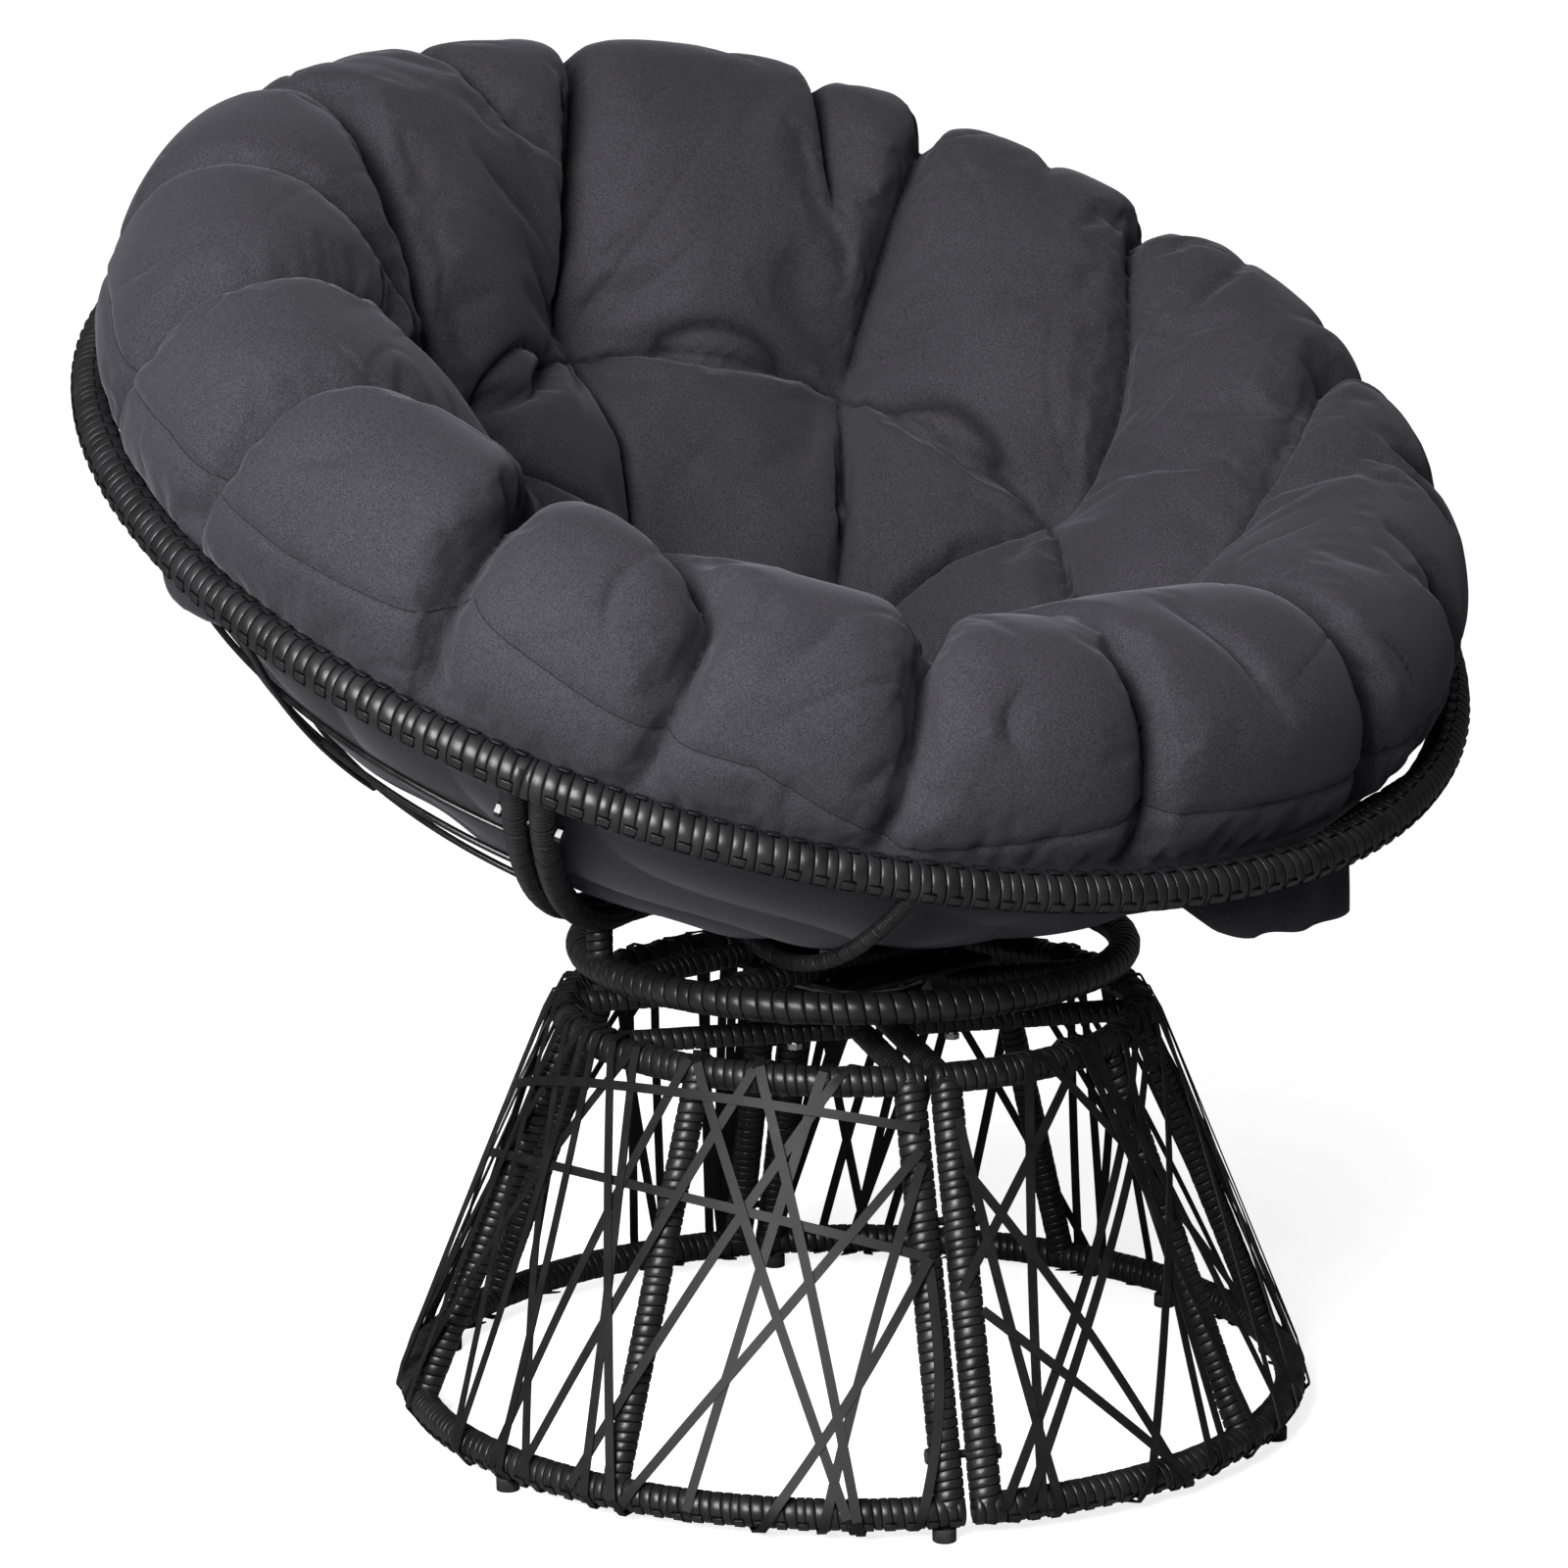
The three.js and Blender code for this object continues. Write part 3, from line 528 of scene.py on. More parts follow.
right_front_strands = (
    ((-32, 0), (-1.5, 0.5), 2),
    ((-4, 0.1), (-11, 1), 3),
    ((-4, 0.22), (-28, 1), -3),
    ((-4, 0.55), (-29, 1), 2),
    ((-20, 0), (-9, 1), 4),
    ((-24, 0), (-62, 1), 3),
    ((-34, 0), (-53, 1), -3),
    ((-33, 0), (-45, 1), 5),
    ((-52, 0), (-4, 1), -2),
    ((-58, 0), (-7, 1), 2),
    ((-36, 0), (-37, 1), -6),
    ((-64, 0), (-24, 1), 2),
    ((-47, 0), (-35, 1), 5),
    ((-50, 0), (-78, 1), -3),
    ((-72, 0), (-52, 1), 4),
    ((-66, 0), (-70, 1), 7),
    ((-60, 0), (-88, 1), 2),
    ((-82, 0), (-60, 1), -4),
    ((-76, 0), (-82, 1), 5),
)
hidden_strands_per_half = 24
hidden_lean_range = (8, 30)
hidden_bow_range = (-4, 4)


def hidden_strands(first, last, seed):
    """The strands on a side that the photograph doesn't show, laid by the same habit."""
    draw = random.Random(seed)
    for index in range(hidden_strands_per_half):
        top = first + (last - first) * (index + draw.uniform(0.1, 0.9)) / hidden_strands_per_half
        lean = draw.choice((-1, 1)) * draw.uniform(*hidden_lean_range)
        bottom = min(max(top + lean, first), last)
        yield (top, 0), (bottom, 1), draw.uniform(*hidden_bow_range)


half_strands = {
    "left": [*left_front_strands, *hidden_strands(first=98, last=176, seed=5)],
    "right": [((180 + a, p), (180 + b, q), -bow) for (a, p), (b, q), bow in right_front_strands],
}
half_strands["right"] += hidden_strands(first=4, last=92, seed=8)


def flat_place(degrees, fall):
    """A point of the cone in its flat development, whose apex is at the origin."""
    slant = base_top_radius / math.sin(lacing_lean) + fall * lacing_length
    angle = math.radians(degrees) * math.sin(lacing_lean)
    return Vector((slant * math.sin(angle), slant * math.cos(angle), 0))


def lay_strand(start, end, bow, layer):
    """Lays one strand flat, lengthened at each end that reaches a ring so that it can loop round it."""
    first, last = flat_place(*start), flat_place(*end)
    run = (last - first).normalized()
    if start[1] == 0:
        first -= run * loop_length
    if end[1] == 1:
        last += run * loop_length
    length = (last - first).length
    middle = (first + last) / 2
    bpy.ops.mesh.primitive_grid_add(
        x_subdivisions=2,
        y_subdivisions=strand_length_steps,
        size=1,
        location=(middle.x, middle.y, layer * strand_lift),
        rotation=(0, 0, math.atan2(run.y, run.x) - math.pi / 2),
    )
    piece = bpy.context.object
    piece.scale = (strand_width, length, 1)
    bpy.ops.object.transform_apply()
    side = Vector((-run.y, run.x, 0))

    def bowed(places):
        share = (places - np.array(first)) @ np.array(run) / length
        return places + np.outer(np.sin(np.pi * np.clip(share, 0, 1)) * bow / 1000, np.array(side))

    move_vertices(piece, bowed)
    return piece


def ring_rows(radius, angle, height):
    """Places at each radius, angle and height, with the angles counted as on_circle counts turns."""
    return np.stack([-radius * np.sin(angle), -radius * np.cos(angle), height], 1)


def roll(places):
    """From the flat development round the cone, and at each ring on round the ring's tube."""
    slant = np.hypot(places[:, 0], places[:, 1])
    turn = np.arctan2(places[:, 0], places[:, 1]) / math.sin(lacing_lean)
    fall = slant - base_top_radius / math.sin(lacing_lean)
    lift = base_tube / 2 + strand_clearance + places[:, 2]
    over = np.clip(fall, 0, lacing_length)
    past = fall - over
    bend = lacing_lean - past / (base_tube / 2 + loop_clearance)
    radius = base_top_radius + over * math.sin(lacing_lean)
    height = base_top_height - over * math.cos(lacing_lean)
    radius = radius + lift * np.where(past == 0, math.cos(lacing_lean), np.cos(bend))
    height = height + lift * np.where(past == 0, math.sin(lacing_lean), np.sin(bend))
    return ring_rows(radius, turn, height)


# The lacing's strand is a darker, duller copy of the resin strand's finish: painted shade over the lacing.
laid_strand_painted_shade = wicker_finish("laid_strand_painted_shade", shade=0.6, dullness=0.2, specular=0.22)

for side, matrix in base_matrices.items():
    laid = [
        lay_strand(start, end, bow, index % strand_layers)
        for index, (start, end, bow) in enumerate(half_strands[side])
    ]
    lacing = joined(f"{side}_lacing_laid", laid)
    move_vertices(lacing, roll)
    thicken = lacing.modifiers.new("thickness", "SOLIDIFY")
    thicken.thickness = strand_thickness
    thicken.offset = 0
    apply_modifiers(lacing)
    bpy.ops.object.shade_smooth_by_angle(angle=math.radians(40))
    dress(place(lacing, matrix), laid_strand_painted_shade)
    stand_for(lacing, "base", "strand", *[f"{side}_lacing_{bay}" for bay in (1, 2, 3, 4)])

# The cradle turns on the swivel: a wound ring with two bars over the swivel plate and three posts, whose
# coped tops carry the pairs of ribs. Its tubes are welded together before they are wound.
cradle_radius = 0.196
cradle_tube = 0.023
cradle_height = 0.3426
cradle_bar_height = 0.3396
cradle_bar_half_span = 0.035
cradle_pitch = 0.0102
post_tube = 0.019
post_pitch = 0.0068

cradle_round = 2 * math.pi * cradle_radius
cradle_ring = wind(
    "cradle_ring", cradle_tube, cradle_round, cradle_pitch, ring_radius=cradle_radius, closed=True
)
place(cradle_ring, Matrix.Translation((0, swivel_y, cradle_height)))
cradle_pieces = [cradle_ring]
for y in (-cradle_bar_half_span, cradle_bar_half_span):
    end = along_seam(cradle_radius, cradle_bar_half_span)
    cradle_pieces.append(
        bar("cradle_bar", (-end, swivel_y + y, cradle_bar_height), (end, swivel_y + y, cradle_bar_height))
    )

# The bowl's frame is bolted together from three wound sections. Each has its third of the rim and the two
# ribs along its seams, which end together in a knuckle at the bottom of the bowl.
rim_radius = 0.502
rim_tube = 0.028
bowl_depth = 0.279
bowl_tilt = math.radians(22)
rib_tube = 0.019
rib_pair_gap = 0.001
knuckle_clearance = 0.006
post_cope_share = 0.4
halvings = 30
front_rib_tube = 0.012
front_rib_turn = 30
section_turn = 120
rim_pitch = 0.0088
rim_strip_angles = (math.radians(-105), math.radians(10))
rib_joins = 0.026
rib_pitch = 0.005
bowl_radius = (rim_radius**2 + bowl_depth**2) / (2 * bowl_depth)
bowl_centre_rise = bowl_radius - bowl_depth
bowl_centre_height = cradle_bar_height + bar_tube / 2 + knuckle_clearance + bowl_radius - rib_tube / 2
rim_height = bowl_centre_height - bowl_centre_rise * math.cos(bowl_tilt)
bowl_matrix = Matrix.Translation((0, 0, rim_height)) @ Matrix.Rotation(bowl_tilt, 4, "X")
knuckle_radius = (rib_tube / 2 + rib_pair_gap / 2) / math.sin(math.radians(section_turn / 2))
section_turns = {"front": 0, "left": section_turn, "right": -section_turn}
seam_turns = (60, 180, -60)


def post_top(turn):
    """Where the pair of ribs at a seam passes over the cradle's ring."""
    low, high = 0.0, math.asin(rim_radius / bowl_radius)
    for _ in range(halvings):
        middle = (low + high) / 2
        height = bowl_centre_rise - bowl_radius * math.cos(middle)
        point = bowl_matrix @ on_circle(bowl_radius * math.sin(middle), turn, height)
        if math.hypot(point.x, point.y - swivel_y) < cradle_radius:
            low = middle
        else:
            high = middle
    return point


for turn in seam_turns:
    top = post_top(turn)
    post_length = top.z - rib_tube * post_cope_share - cradle_height
    post = wind("post", post_tube, post_length, post_pitch, sides=12)
    cradle_pieces.append(place(post, along((top.x, top.y, cradle_height), top)))
stand_for(joined("cradle_wound", cradle_pieces), "seat", "wicker", "cradle")


def bowl_rib(name, turn, diameter, aside, inner_radius, inset):
    """A rib bent to the bowl's sphere, from near its bottom up to the rim."""
    radius = bowl_radius - inset
    start = math.asin(inner_radius / radius)
    end = math.asin(rim_radius / bowl_radius)
    length = (end - start) * radius
    rib = wind(name, diameter, length, rib_pitch, sides=12, ring_radius=radius, joins=rib_joins)
    place(rib, turn_matrix(math.degrees(start)))
    out, square, up = on_circle(1, turn), on_circle(1, turn + 90), Vector((0, 0, 1))
    stand = Matrix((-out, up, (-out).cross(up))).transposed().to_4x4()
    middle = square * aside + up * bowl_centre_rise
    return place(rib, Matrix.Translation(middle) @ stand)


def section_frame(name, middle_turn, thin_turns):
    half_turn = section_turn / 2 - math.degrees(math.asin(rib_pair_gap / 2 / rim_radius))
    length = rim_radius * math.radians(2 * half_turn)
    rim = wind(
        "rim", rim_tube, length, rim_pitch, sides=18, ring_radius=rim_radius, strip_angles=rim_strip_angles
    )
    place(rim, turn_matrix(middle_turn - half_turn))
    pieces = [rim]
    sizes = [(-section_turn / 2, rib_tube), (section_turn / 2, rib_tube)]
    sizes += [(turn, front_rib_tube) for turn in thin_turns]
    for turn, diameter in sizes:
        aside = -knuckle_radius * math.sin(math.radians(turn))
        inner = knuckle_radius * math.cos(math.radians(turn))
        inset = (rib_tube - diameter) / 2
        pieces.append(bowl_rib("rib", middle_turn + turn, diameter, aside, inner, inset))
    knuckle_height = bowl_centre_rise - math.sqrt(bowl_radius**2 - knuckle_radius**2)
    bpy.ops.mesh.primitive_uv_sphere_add(segments=16, ring_count=10, radius=rib_tube / 2)
    knuckle = dress(bpy.context.object, wicker)
    bpy.ops.object.shade_smooth()
    place(knuckle, Matrix.Translation(on_circle(knuckle_radius, middle_turn, knuckle_height)))
    section = joined(f"{name}_wound", [*pieces, knuckle])
    stand_for(place(section, bowl_matrix), "seat", "wicker", name)


for side, turn in section_turns.items():
    thin_turns = (-front_rib_turn, front_rib_turn) if side == "front" else ()
    section_frame(f"bowl_{side}_frame", turn, thin_turns)
bpy.data.objects.remove(wrap_section)

# Each rear section is closed by a cage of black wire: three level hoops and three short uprights, welded
# where they cross and resting against the ribs and the rim.
wire_diameter = 0.005
wire_sink = 0.0007
wire_lap = 0.003
wire_turn = 30
hoop_radii = (0.4302, 0.382, 0.3298)
hoop_points = 73
upright_points = 17
steel_dark = (0.004, 0.004, 0.0042, 1)
steel_light = (0.012, 0.012, 0.0125, 1)
zinc_dark = (0.30, 0.30, 0.31, 1)
zinc_light = (0.52, 0.53, 0.54, 1)


def steel_finish(name, dark, light, metallic, roughness, grain_scale):
    """Coated or plated steel, or moulded plastic, with faint clouding and a fine grain in its surface."""
    paint = Finish(name)
    cloud = paint.noise(scale=90.0, detail=4.0)
    grain = paint.noise(scale=grain_scale, detail=2.0)
    color = paint.ramp(cloud, (0.35, dark), (0.65, light))
    bump = paint.bump(grain, strength=0.15, distance=0.0002)
    rough = roughness + 0.12 * cloud + 0.06 * grain
    return paint.finish(Base_Color=color, Metallic=metallic, Roughness=rough, Normal=bump)


coated = steel_finish("black_powder_coat", steel_dark, steel_light, 0.0, 0.16, 1200.0)
plated = steel_finish("zinc_plate", zinc_dark, zinc_light, 1.0, 0.26, 1800.0)
glide_plastic = steel_finish("glide_plastic", steel_dark, steel_light, 0.0, 0.5, 900.0)


def wire(name, points, diameter, closed=False, sides=3):
    """A round wire through a row of points."""
    bpy.ops.curve.primitive_nurbs_path_add()
    path = bpy.context.object
    path.name = name
    line = path.data.splines[0]
    line.type = "POLY"
    line.points.add(len(points) - len(line.points))
    for stop, point in zip(line.points, points):
        stop.co = (*point, 1)
    line.use_cyclic_u = closed
    path.data.bevel_depth = diameter / 2
    path.data.bevel_resolution = sides
    path.data.use_fill_caps = not closed
    select_only(path)
    bpy.ops.object.convert(target="MESH")
    bpy.ops.object.shade_smooth()
    return path


def cage_wires(side):
    middle_turn = section_turns[side]
    radius = bowl_radius - ((rib_tube - wire_diameter) / 2 - wire_sink)
    outer = radius + wire_lap
    wires = []
    for hoop_radius in hoop_radii:
        height = bowl_centre_rise - math.sqrt(radius**2 - hoop_radius**2)
        half_turn = section_turn / 2 - math.degrees(math.asin((rib_tube + rib_pair_gap) / 2 / hoop_radius))
        turns = np.linspace(middle_turn - half_turn, middle_turn + half_turn, hoop_points)
        wires.append(wire("hoop", [on_circle(hoop_radius, turn, height) for turn in turns], wire_diameter))
    low = math.asin((min(hoop_radii) - wire_diameter) / outer)
    high = math.asin((rim_radius - rim_tube / 2) / outer)
    for turn in (-wire_turn, 0, wire_turn):
        points = []
        for angle in np.linspace(low, high, upright_points):
            height = bowl_centre_rise - outer * math.cos(angle)
            points.append(on_circle(outer * math.sin(angle), middle_turn + turn, height))
        wires.append(wire("upright", points, wire_diameter))
    cage = joined(f"{side}_wire_cage_wires", wires)
    dress(place(cage, bowl_matrix), coated)
    stand_for(cage, "seat", "black_steel", f"{side}_wire_cage")


for side in ("left", "right"):
    cage_wires(side)

# Screws, swivel plates, balls and pin are steel, keep their modelled form, and get finishes. Each levelling
# foot is a knurled plastic disc moulded on a short stud, which screws into the base.
foot_diameter = 0.0172
foot_height = 0.0097
foot_knurls = 28
foot_edge = 0.0009
knurl_share = 0.93
stud_diameter = 0.006
stud_length = 0.013
stud_sink = 0.0002
black_plates = ("swivel_lower_plate", "swivel_upper_plate")
bright_pieces = ("swivel_ball_cage", "swivel_pin")

for name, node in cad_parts.items():
    if "plate_bolt" in name or name in bright_pieces:
        dress(node, plated)
    elif "bolt" in name or name in black_plates:
        dress(node, coated)


def knurled(places):
    """From a plain disc of unit size to a foot's disc, with every other edge of its side drawn in."""
    angle = np.arctan2(places[:, 1], places[:, 0])
    ridged = np.where(np.round(angle / np.pi * foot_knurls).astype(int) % 2 == 0, 1, knurl_share)
    sized = places * (foot_diameter / 2, foot_diameter / 2, foot_height)
    return sized * np.stack([ridged, ridged, np.ones_like(ridged)], 1)


for name in [f"{side}_foot_{number}" for side in ("left", "right") for number in (1, 2, 3)]:
    low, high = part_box(name)
    bpy.ops.mesh.primitive_cylinder_add(vertices=2 * foot_knurls, radius=1, depth=1)
    disc = bpy.context.object
    move_vertices(disc, knurled)
    edges = disc.modifiers.new("edges", "BEVEL")
    edges.width = foot_edge
    edges.segments = 3
    edges.limit_method = "ANGLE"
    edges.angle_limit = math.radians(60)
    apply_modifiers(disc)
    disc.location.z = foot_height / 2
    bpy.ops.object.transform_apply()
    stud_middle = foot_height + stud_length / 2 - stud_sink
    bpy.ops.mesh.primitive_cylinder_add(
        vertices=20, radius=stud_diameter / 2, depth=stud_length, location=(0, 0, stud_middle)
    )
    stud = bpy.context.object
    bpy.ops.object.transform_apply()
    foot = joined(f"{name}_knurled", [disc, stud])
    place(foot, Matrix.Translation(((low[0] + high[0]) / 2, (low[1] + high[1]) / 2, 0)))
    select_only(foot)
    bpy.ops.object.shade_smooth_by_angle(angle=math.radians(35))
    stand_for(dress(foot, glide_plastic), name, "glide", name)

# The cushion is a loose sack of woven polyester, stuffed with fibre and tied through in ten places. The ties
# pull deep folds out over its edge, and a boxing strip is sewn in round the side.
# Its outline is given by radius and height over the rim, in millimetres, from under its middle to its dish.
pad_profile = (
    (0, -268), (120, -256), (240, -216), (340, -159), (420, -95), (468, -32), (485, -2), (497, 20),
    (499, 38), (495, 62), (488, 88), (474, 114), (450, 133), (418, 143), (385, 139), (350, 120), (320, 91),
    (292, 58), (266, 26), (244, -3), (213, -34), (170, -68), (120, -94), (60, -110), (0, -115),
)
pad_columns = 300
pad_rows = 150
pad_voxel = 0.0065
outline_points = 800
outline_smoothing = 61
tuft_turns = (181, 231, 277, 333, 22, 77, 129)
tuft_circle = 0.250
tuft_depth = 0.044
tuft_reach = 0.028
inner_tuft_turns = (165, 275, 40)
inner_tuft_circle = 0.086
tuft_crease_depth = 0.008
tuft_crease_reach = 0.009
valley_depth = 0.022
valley_rise = 0.006
valley_reach = 0.013
valley_crease_share = 0.8
fold_reach = 0.0105
# Each main fold's turn at the edge and at its inner end, its depth, and how far it goes from edge to tie.
main_folds = (
    (11.5, 15, 0.026, 0.50), (32.5, 22, 0.040, 1), (52, 77, 0.038, 1), (70, 77, 0.046, 1),
    (96, 86, 0.027, 0.85), (113, 124, 0.018, 0.8), (133, 129, 0.018, 0.8), (155, 136, 0.030, 1),
    (174, 178, 0.008, 0.6), (192, 181, 0.040, 1), (218, 226, 0.012, 0.7), (232, 231, 0.034, 1),
    (255, 277, 0.036, 1), (285, 325, 0.046, 1), (302, 312, 0.015, 0.4), (322, 322, 0.011, 0.35),
    (345, 333, 0.042, 1),
)
crisp_depth = 0.013
crisp_reach = 0.0032
slack_depth = 0.0045
slack_ease = 0.05
waist_margin = 0.015
fold_lean = 0.45
fold_sharpness = 1.15
tuft_sharpness = 1.1
main_ease = 0.03
fine_ease = 0.02
close_reach = 0.006
low_ease = 0.06
low_depth_share = 0.45
low_width_share = 0.35
fan_lead = 0.03
# A fold's width is its share of a main fold's, and a depth range is what the finer folds draw theirs from.
main_width = 1.0
pull_width = 0.5
tie_width = 0.55
pull_creases = 3
pull_bow = 2
pull_depth_range = (0.003, 0.006)
fine_crease_spacing = 19
fine_depth_range = (0.003, 0.008)
tie_creases = 4
tie_depth_range = (0.004, 0.010)
# The underside's one slack bulge: its turn and half width in degrees, its way below the waist, its rise.
bulge_turn = 100
bulge_half_turn = 6
bulge_below_waist = 0.045
bulge_reach = 0.02
bulge_rise = 0.022
dish_ease = 0.06
top_ease = 0.12
front_reach = 0.2
crown_swell = 0.006
front_draw = 0.014
front_drop = 0.013
back_rise = 0.024
edge_sway = 0.010
rim_clearance = 0.0008
held_closeness = 0.4
held_tuft_share = 0.55
held_waist_ease = 0.02
puff_cap = 0.026
sim_frames = 20
seam_depth = 0.0028
seam_reach = 0.0045
side_margin = 0.02
side_ease = 0.01
thread_diameter = 0.0012
thread_step = 0.5
ray_start_radius = 0.56
# How high the boxing seam lies above the rim at each turn, in millimetres.
seam_heights = (
    (-15, 58), (5, 62), (11.5, 60), (18, 48), (31, 18), (34, 30), (44, 62), (52, 60), (61, 78), (69, 92),
    (71, 74), (84, 62), (95, 60), (102, 66), (112, 58), (122, 70), (133, 60), (150, 66), (180, 60),
    (215, 64), (250, 58), (290, 64), (320, 60), (345, 58),
)


def profile_line():
    """The pad's outline from the middle of its underside to the middle of its dish, with its own lengths."""
    points = np.array(pad_profile, float) / 1000
    index = np.arange(len(points))
    fine = np.linspace(0, len(points) - 1, outline_points)
    smooth = np.stack([np.interp(fine, index, points[:, k]) for k in (0, 1)], 1)
    kernel = np.hanning(outline_smoothing) / np.hanning(outline_smoothing).sum()
    ends = outline_smoothing // 2
    padded = np.concatenate([np.repeat(smooth[:1], ends, 0), smooth, np.repeat(smooth[-1:], ends, 0)])
    smooth = np.stack([np.convolve(padded[:, k], kernel, "valid") for k in (0, 1)], 1)
    smooth[0, 0] = smooth[-1, 0] = 0
    lengths = np.concatenate([[0], np.cumsum(np.hypot(*np.diff(smooth, axis=0).T))])
    return smooth, lengths


outline, outline_lengths = profile_line()
outline_total = outline_lengths[-1]
outline_steps = np.gradient(outline, outline_lengths, axis=0)
outline_out = np.stack([outline_steps[:, 1], -outline_steps[:, 0]], 1)


def length_at(radius, height):
    """How far along the outline the point nearest to a radius and height lies, in metres."""
    return outline_lengths[np.argmin(np.hypot(outline[:, 0] - radius, outline[:, 1] - height))]


waist_length = length_at(0.484, 0.000)
boxing_length = length_at(0.495, 0.060)
shoulder_length = length_at(0.474, 0.112)
crown_length = length_at(0.418, 0.142)
wall_length = length_at(0.320, 0.090)
tuft_length = length_at(tuft_circle, 0.005)


def fan_share(length):
    """How much of its sideways run a main fold has made where it reaches a length."""
    share = np.clip((length - crown_length + fan_lead) / (tuft_length - crown_length + fan_lead), 0, 1)
    return share * share * (3 - 2 * share)


def turn_gap(turn, other):
    """The shorter way round to a turn from another, in degrees."""
    return (turn - other + 180) % 360 - 180


def fold_table():
    """Each fold's turns at its inner end and at the edge, its bow, the lengths between which it runs, its
    depth, its width, and which end is the deeper, 1 for the inner one and -1 for the outer one."""
    draw = random.Random(11)
    folds = []
    for edge_turn, inner_turn, depth, share in main_folds:
        inner_end = waist_length + share * (tuft_length - waist_length)
        bow = draw.uniform(-2, 2)
        folds.append((inner_turn, edge_turn, bow, waist_length, inner_end, depth, main_width, 0))
        for _ in range(pull_creases if share >= 0.8 else 1):
            meets = draw.uniform(shoulder_length + 0.01, wall_length + 0.04)
            run = draw.uniform(0.035, 0.085) * draw.choice((-1, 1))
            foot_turn = edge_turn + turn_gap(inner_turn, edge_turn) * fan_share(meets)
            far_turn = foot_turn + draw.uniform(6, 17)
            depth = draw.uniform(*pull_depth_range)
            if run > 0:
                folds.append((far_turn, foot_turn, pull_bow, meets, meets + run, depth, pull_width, -1))
            else:
                folds.append((foot_turn, far_turn, pull_bow, meets + run, meets, depth, pull_width, 1))
    edges = [fold[0] for fold in main_folds]
    for turn, following in zip(edges, (*edges[1:], edges[0] + 360)):
        for _ in range(round((following - turn) / fine_crease_spacing)):
            edge_turn = turn + (following - turn) * draw.uniform(0.1, 0.9)
            outer_end = draw.uniform(boxing_length + 0.01, shoulder_length)
            inner_end = outer_end + draw.uniform(0.05, 0.14)
            inner_turn = edge_turn + draw.uniform(-9, 9)
            depth = draw.uniform(*fine_depth_range)
            bow = draw.uniform(-3, 3)
            folds.append((inner_turn, edge_turn, bow, outer_end, inner_end, depth, pull_width, 0))
    for tuft_turn in tuft_turns:
        for _ in range(tie_creases):
            edge_turn = tuft_turn + draw.uniform(-34, 34)
            outer_end = draw.uniform(crown_length + 0.01, wall_length + 0.03)
            depth = draw.uniform(*tie_depth_range)
            bow = draw.uniform(-4, 4)
            folds.append((tuft_turn, edge_turn, bow, outer_end, tuft_length, depth, tie_width, 1))
    return folds


pad_folds = fold_table()


def fold_dip(turn, length, radius, crisp=False):
    """How far the folds draw the pad in at each of its points, or with crisp only the creases at their
    bottoms, and the closeness to a main fold."""
    dip = np.zeros_like(turn)
    close = np.zeros_like(turn)
    for inner_turn, edge_turn, bow, outer_end, inner_end, depth, width, deep_end in pad_folds:
        main = width == main_width
        share = np.clip((length - outer_end) / (inner_end - outer_end), 0, 1)
        fan = fan_share(length) if main else share
        line = edge_turn + turn_gap(inner_turn, edge_turn) * fan + bow * np.sin(np.pi * share)
        aside = np.radians(turn_gap(turn, line)) * radius
        away = np.abs(aside) * (1 + fold_lean * np.sign(aside) * (1 if bow > 0 else -1))
        ease = main_ease if main else fine_ease
        begins = np.clip((length - outer_end) / ease, 0, 1)
        inside = begins * np.clip((inner_end + 0.01 - length) / ease, 0, 1)
        near = 1.0
        if main:
            low = np.clip((shoulder_length - length) / low_ease, 0, 1)
            inside = inside * (1 - low_depth_share * low)
            near = 1 - low_width_share * low
            close = np.maximum(close, np.exp(-((away / close_reach) ** 2)) * inside)
        else:
            taper = np.sin(np.pi * share) if deep_end == 0 else share if deep_end > 0 else 1 - share
            inside = inside * taper
        if crisp:
            form = np.exp(-away / crisp_reach)
            dip = np.maximum(dip, crisp_depth * width**2 * form * inside)
        else:
            form = np.exp(-(away / (fold_reach * width * near)) ** fold_sharpness)
            dip = np.maximum(dip, depth * form * inside)
    return dip, close


def tuft_dip(places, crisp=False):
    """How far its ties and the valleys between them draw the pad down, or with crisp their creases only."""
    ties = [on_circle(tuft_circle, turn) for turn in tuft_turns]
    inner = [on_circle(inner_tuft_circle, turn) for turn in inner_tuft_turns]
    depth, reach = (tuft_crease_depth, tuft_crease_reach) if crisp else (tuft_depth, tuft_reach)
    dip = np.zeros(len(places))
    for tie in ties + inner:
        away = np.hypot(places[:, 0] - tie.x, places[:, 1] - tie.y)
        dip = np.maximum(dip, depth * np.exp(-((away / reach) ** tuft_sharpness)))
    valleys = list(zip(ties, ties[1:] + ties[:1])) + list(zip(inner, inner[1:] + inner[:1]))
    for tie in ties:
        valleys.append((tie, min(inner, key=lambda other: (other - tie).length)))
    for start, end in valleys:
        run = np.array((end - start).to_2d())
        flat = places[:, :2] - np.array(start.to_2d())
        share = np.clip(flat @ run / (run @ run), 0, 1)
        away = np.hypot(*(flat - np.outer(share, run)).T)
        if crisp:
            dip = np.maximum(dip, crisp_depth * valley_crease_share * np.exp(-away / crisp_reach))
        else:
            level = valley_depth - valley_rise * np.sin(np.pi * share)
            dip = np.maximum(dip, level * np.exp(-((away / valley_reach) ** tuft_sharpness)))
    return dip


def in_dish(length):
    """From 0 on the wall of the dish to 1 where its ties are."""
    return np.clip((length - wall_length) / dish_ease, 0, 1)


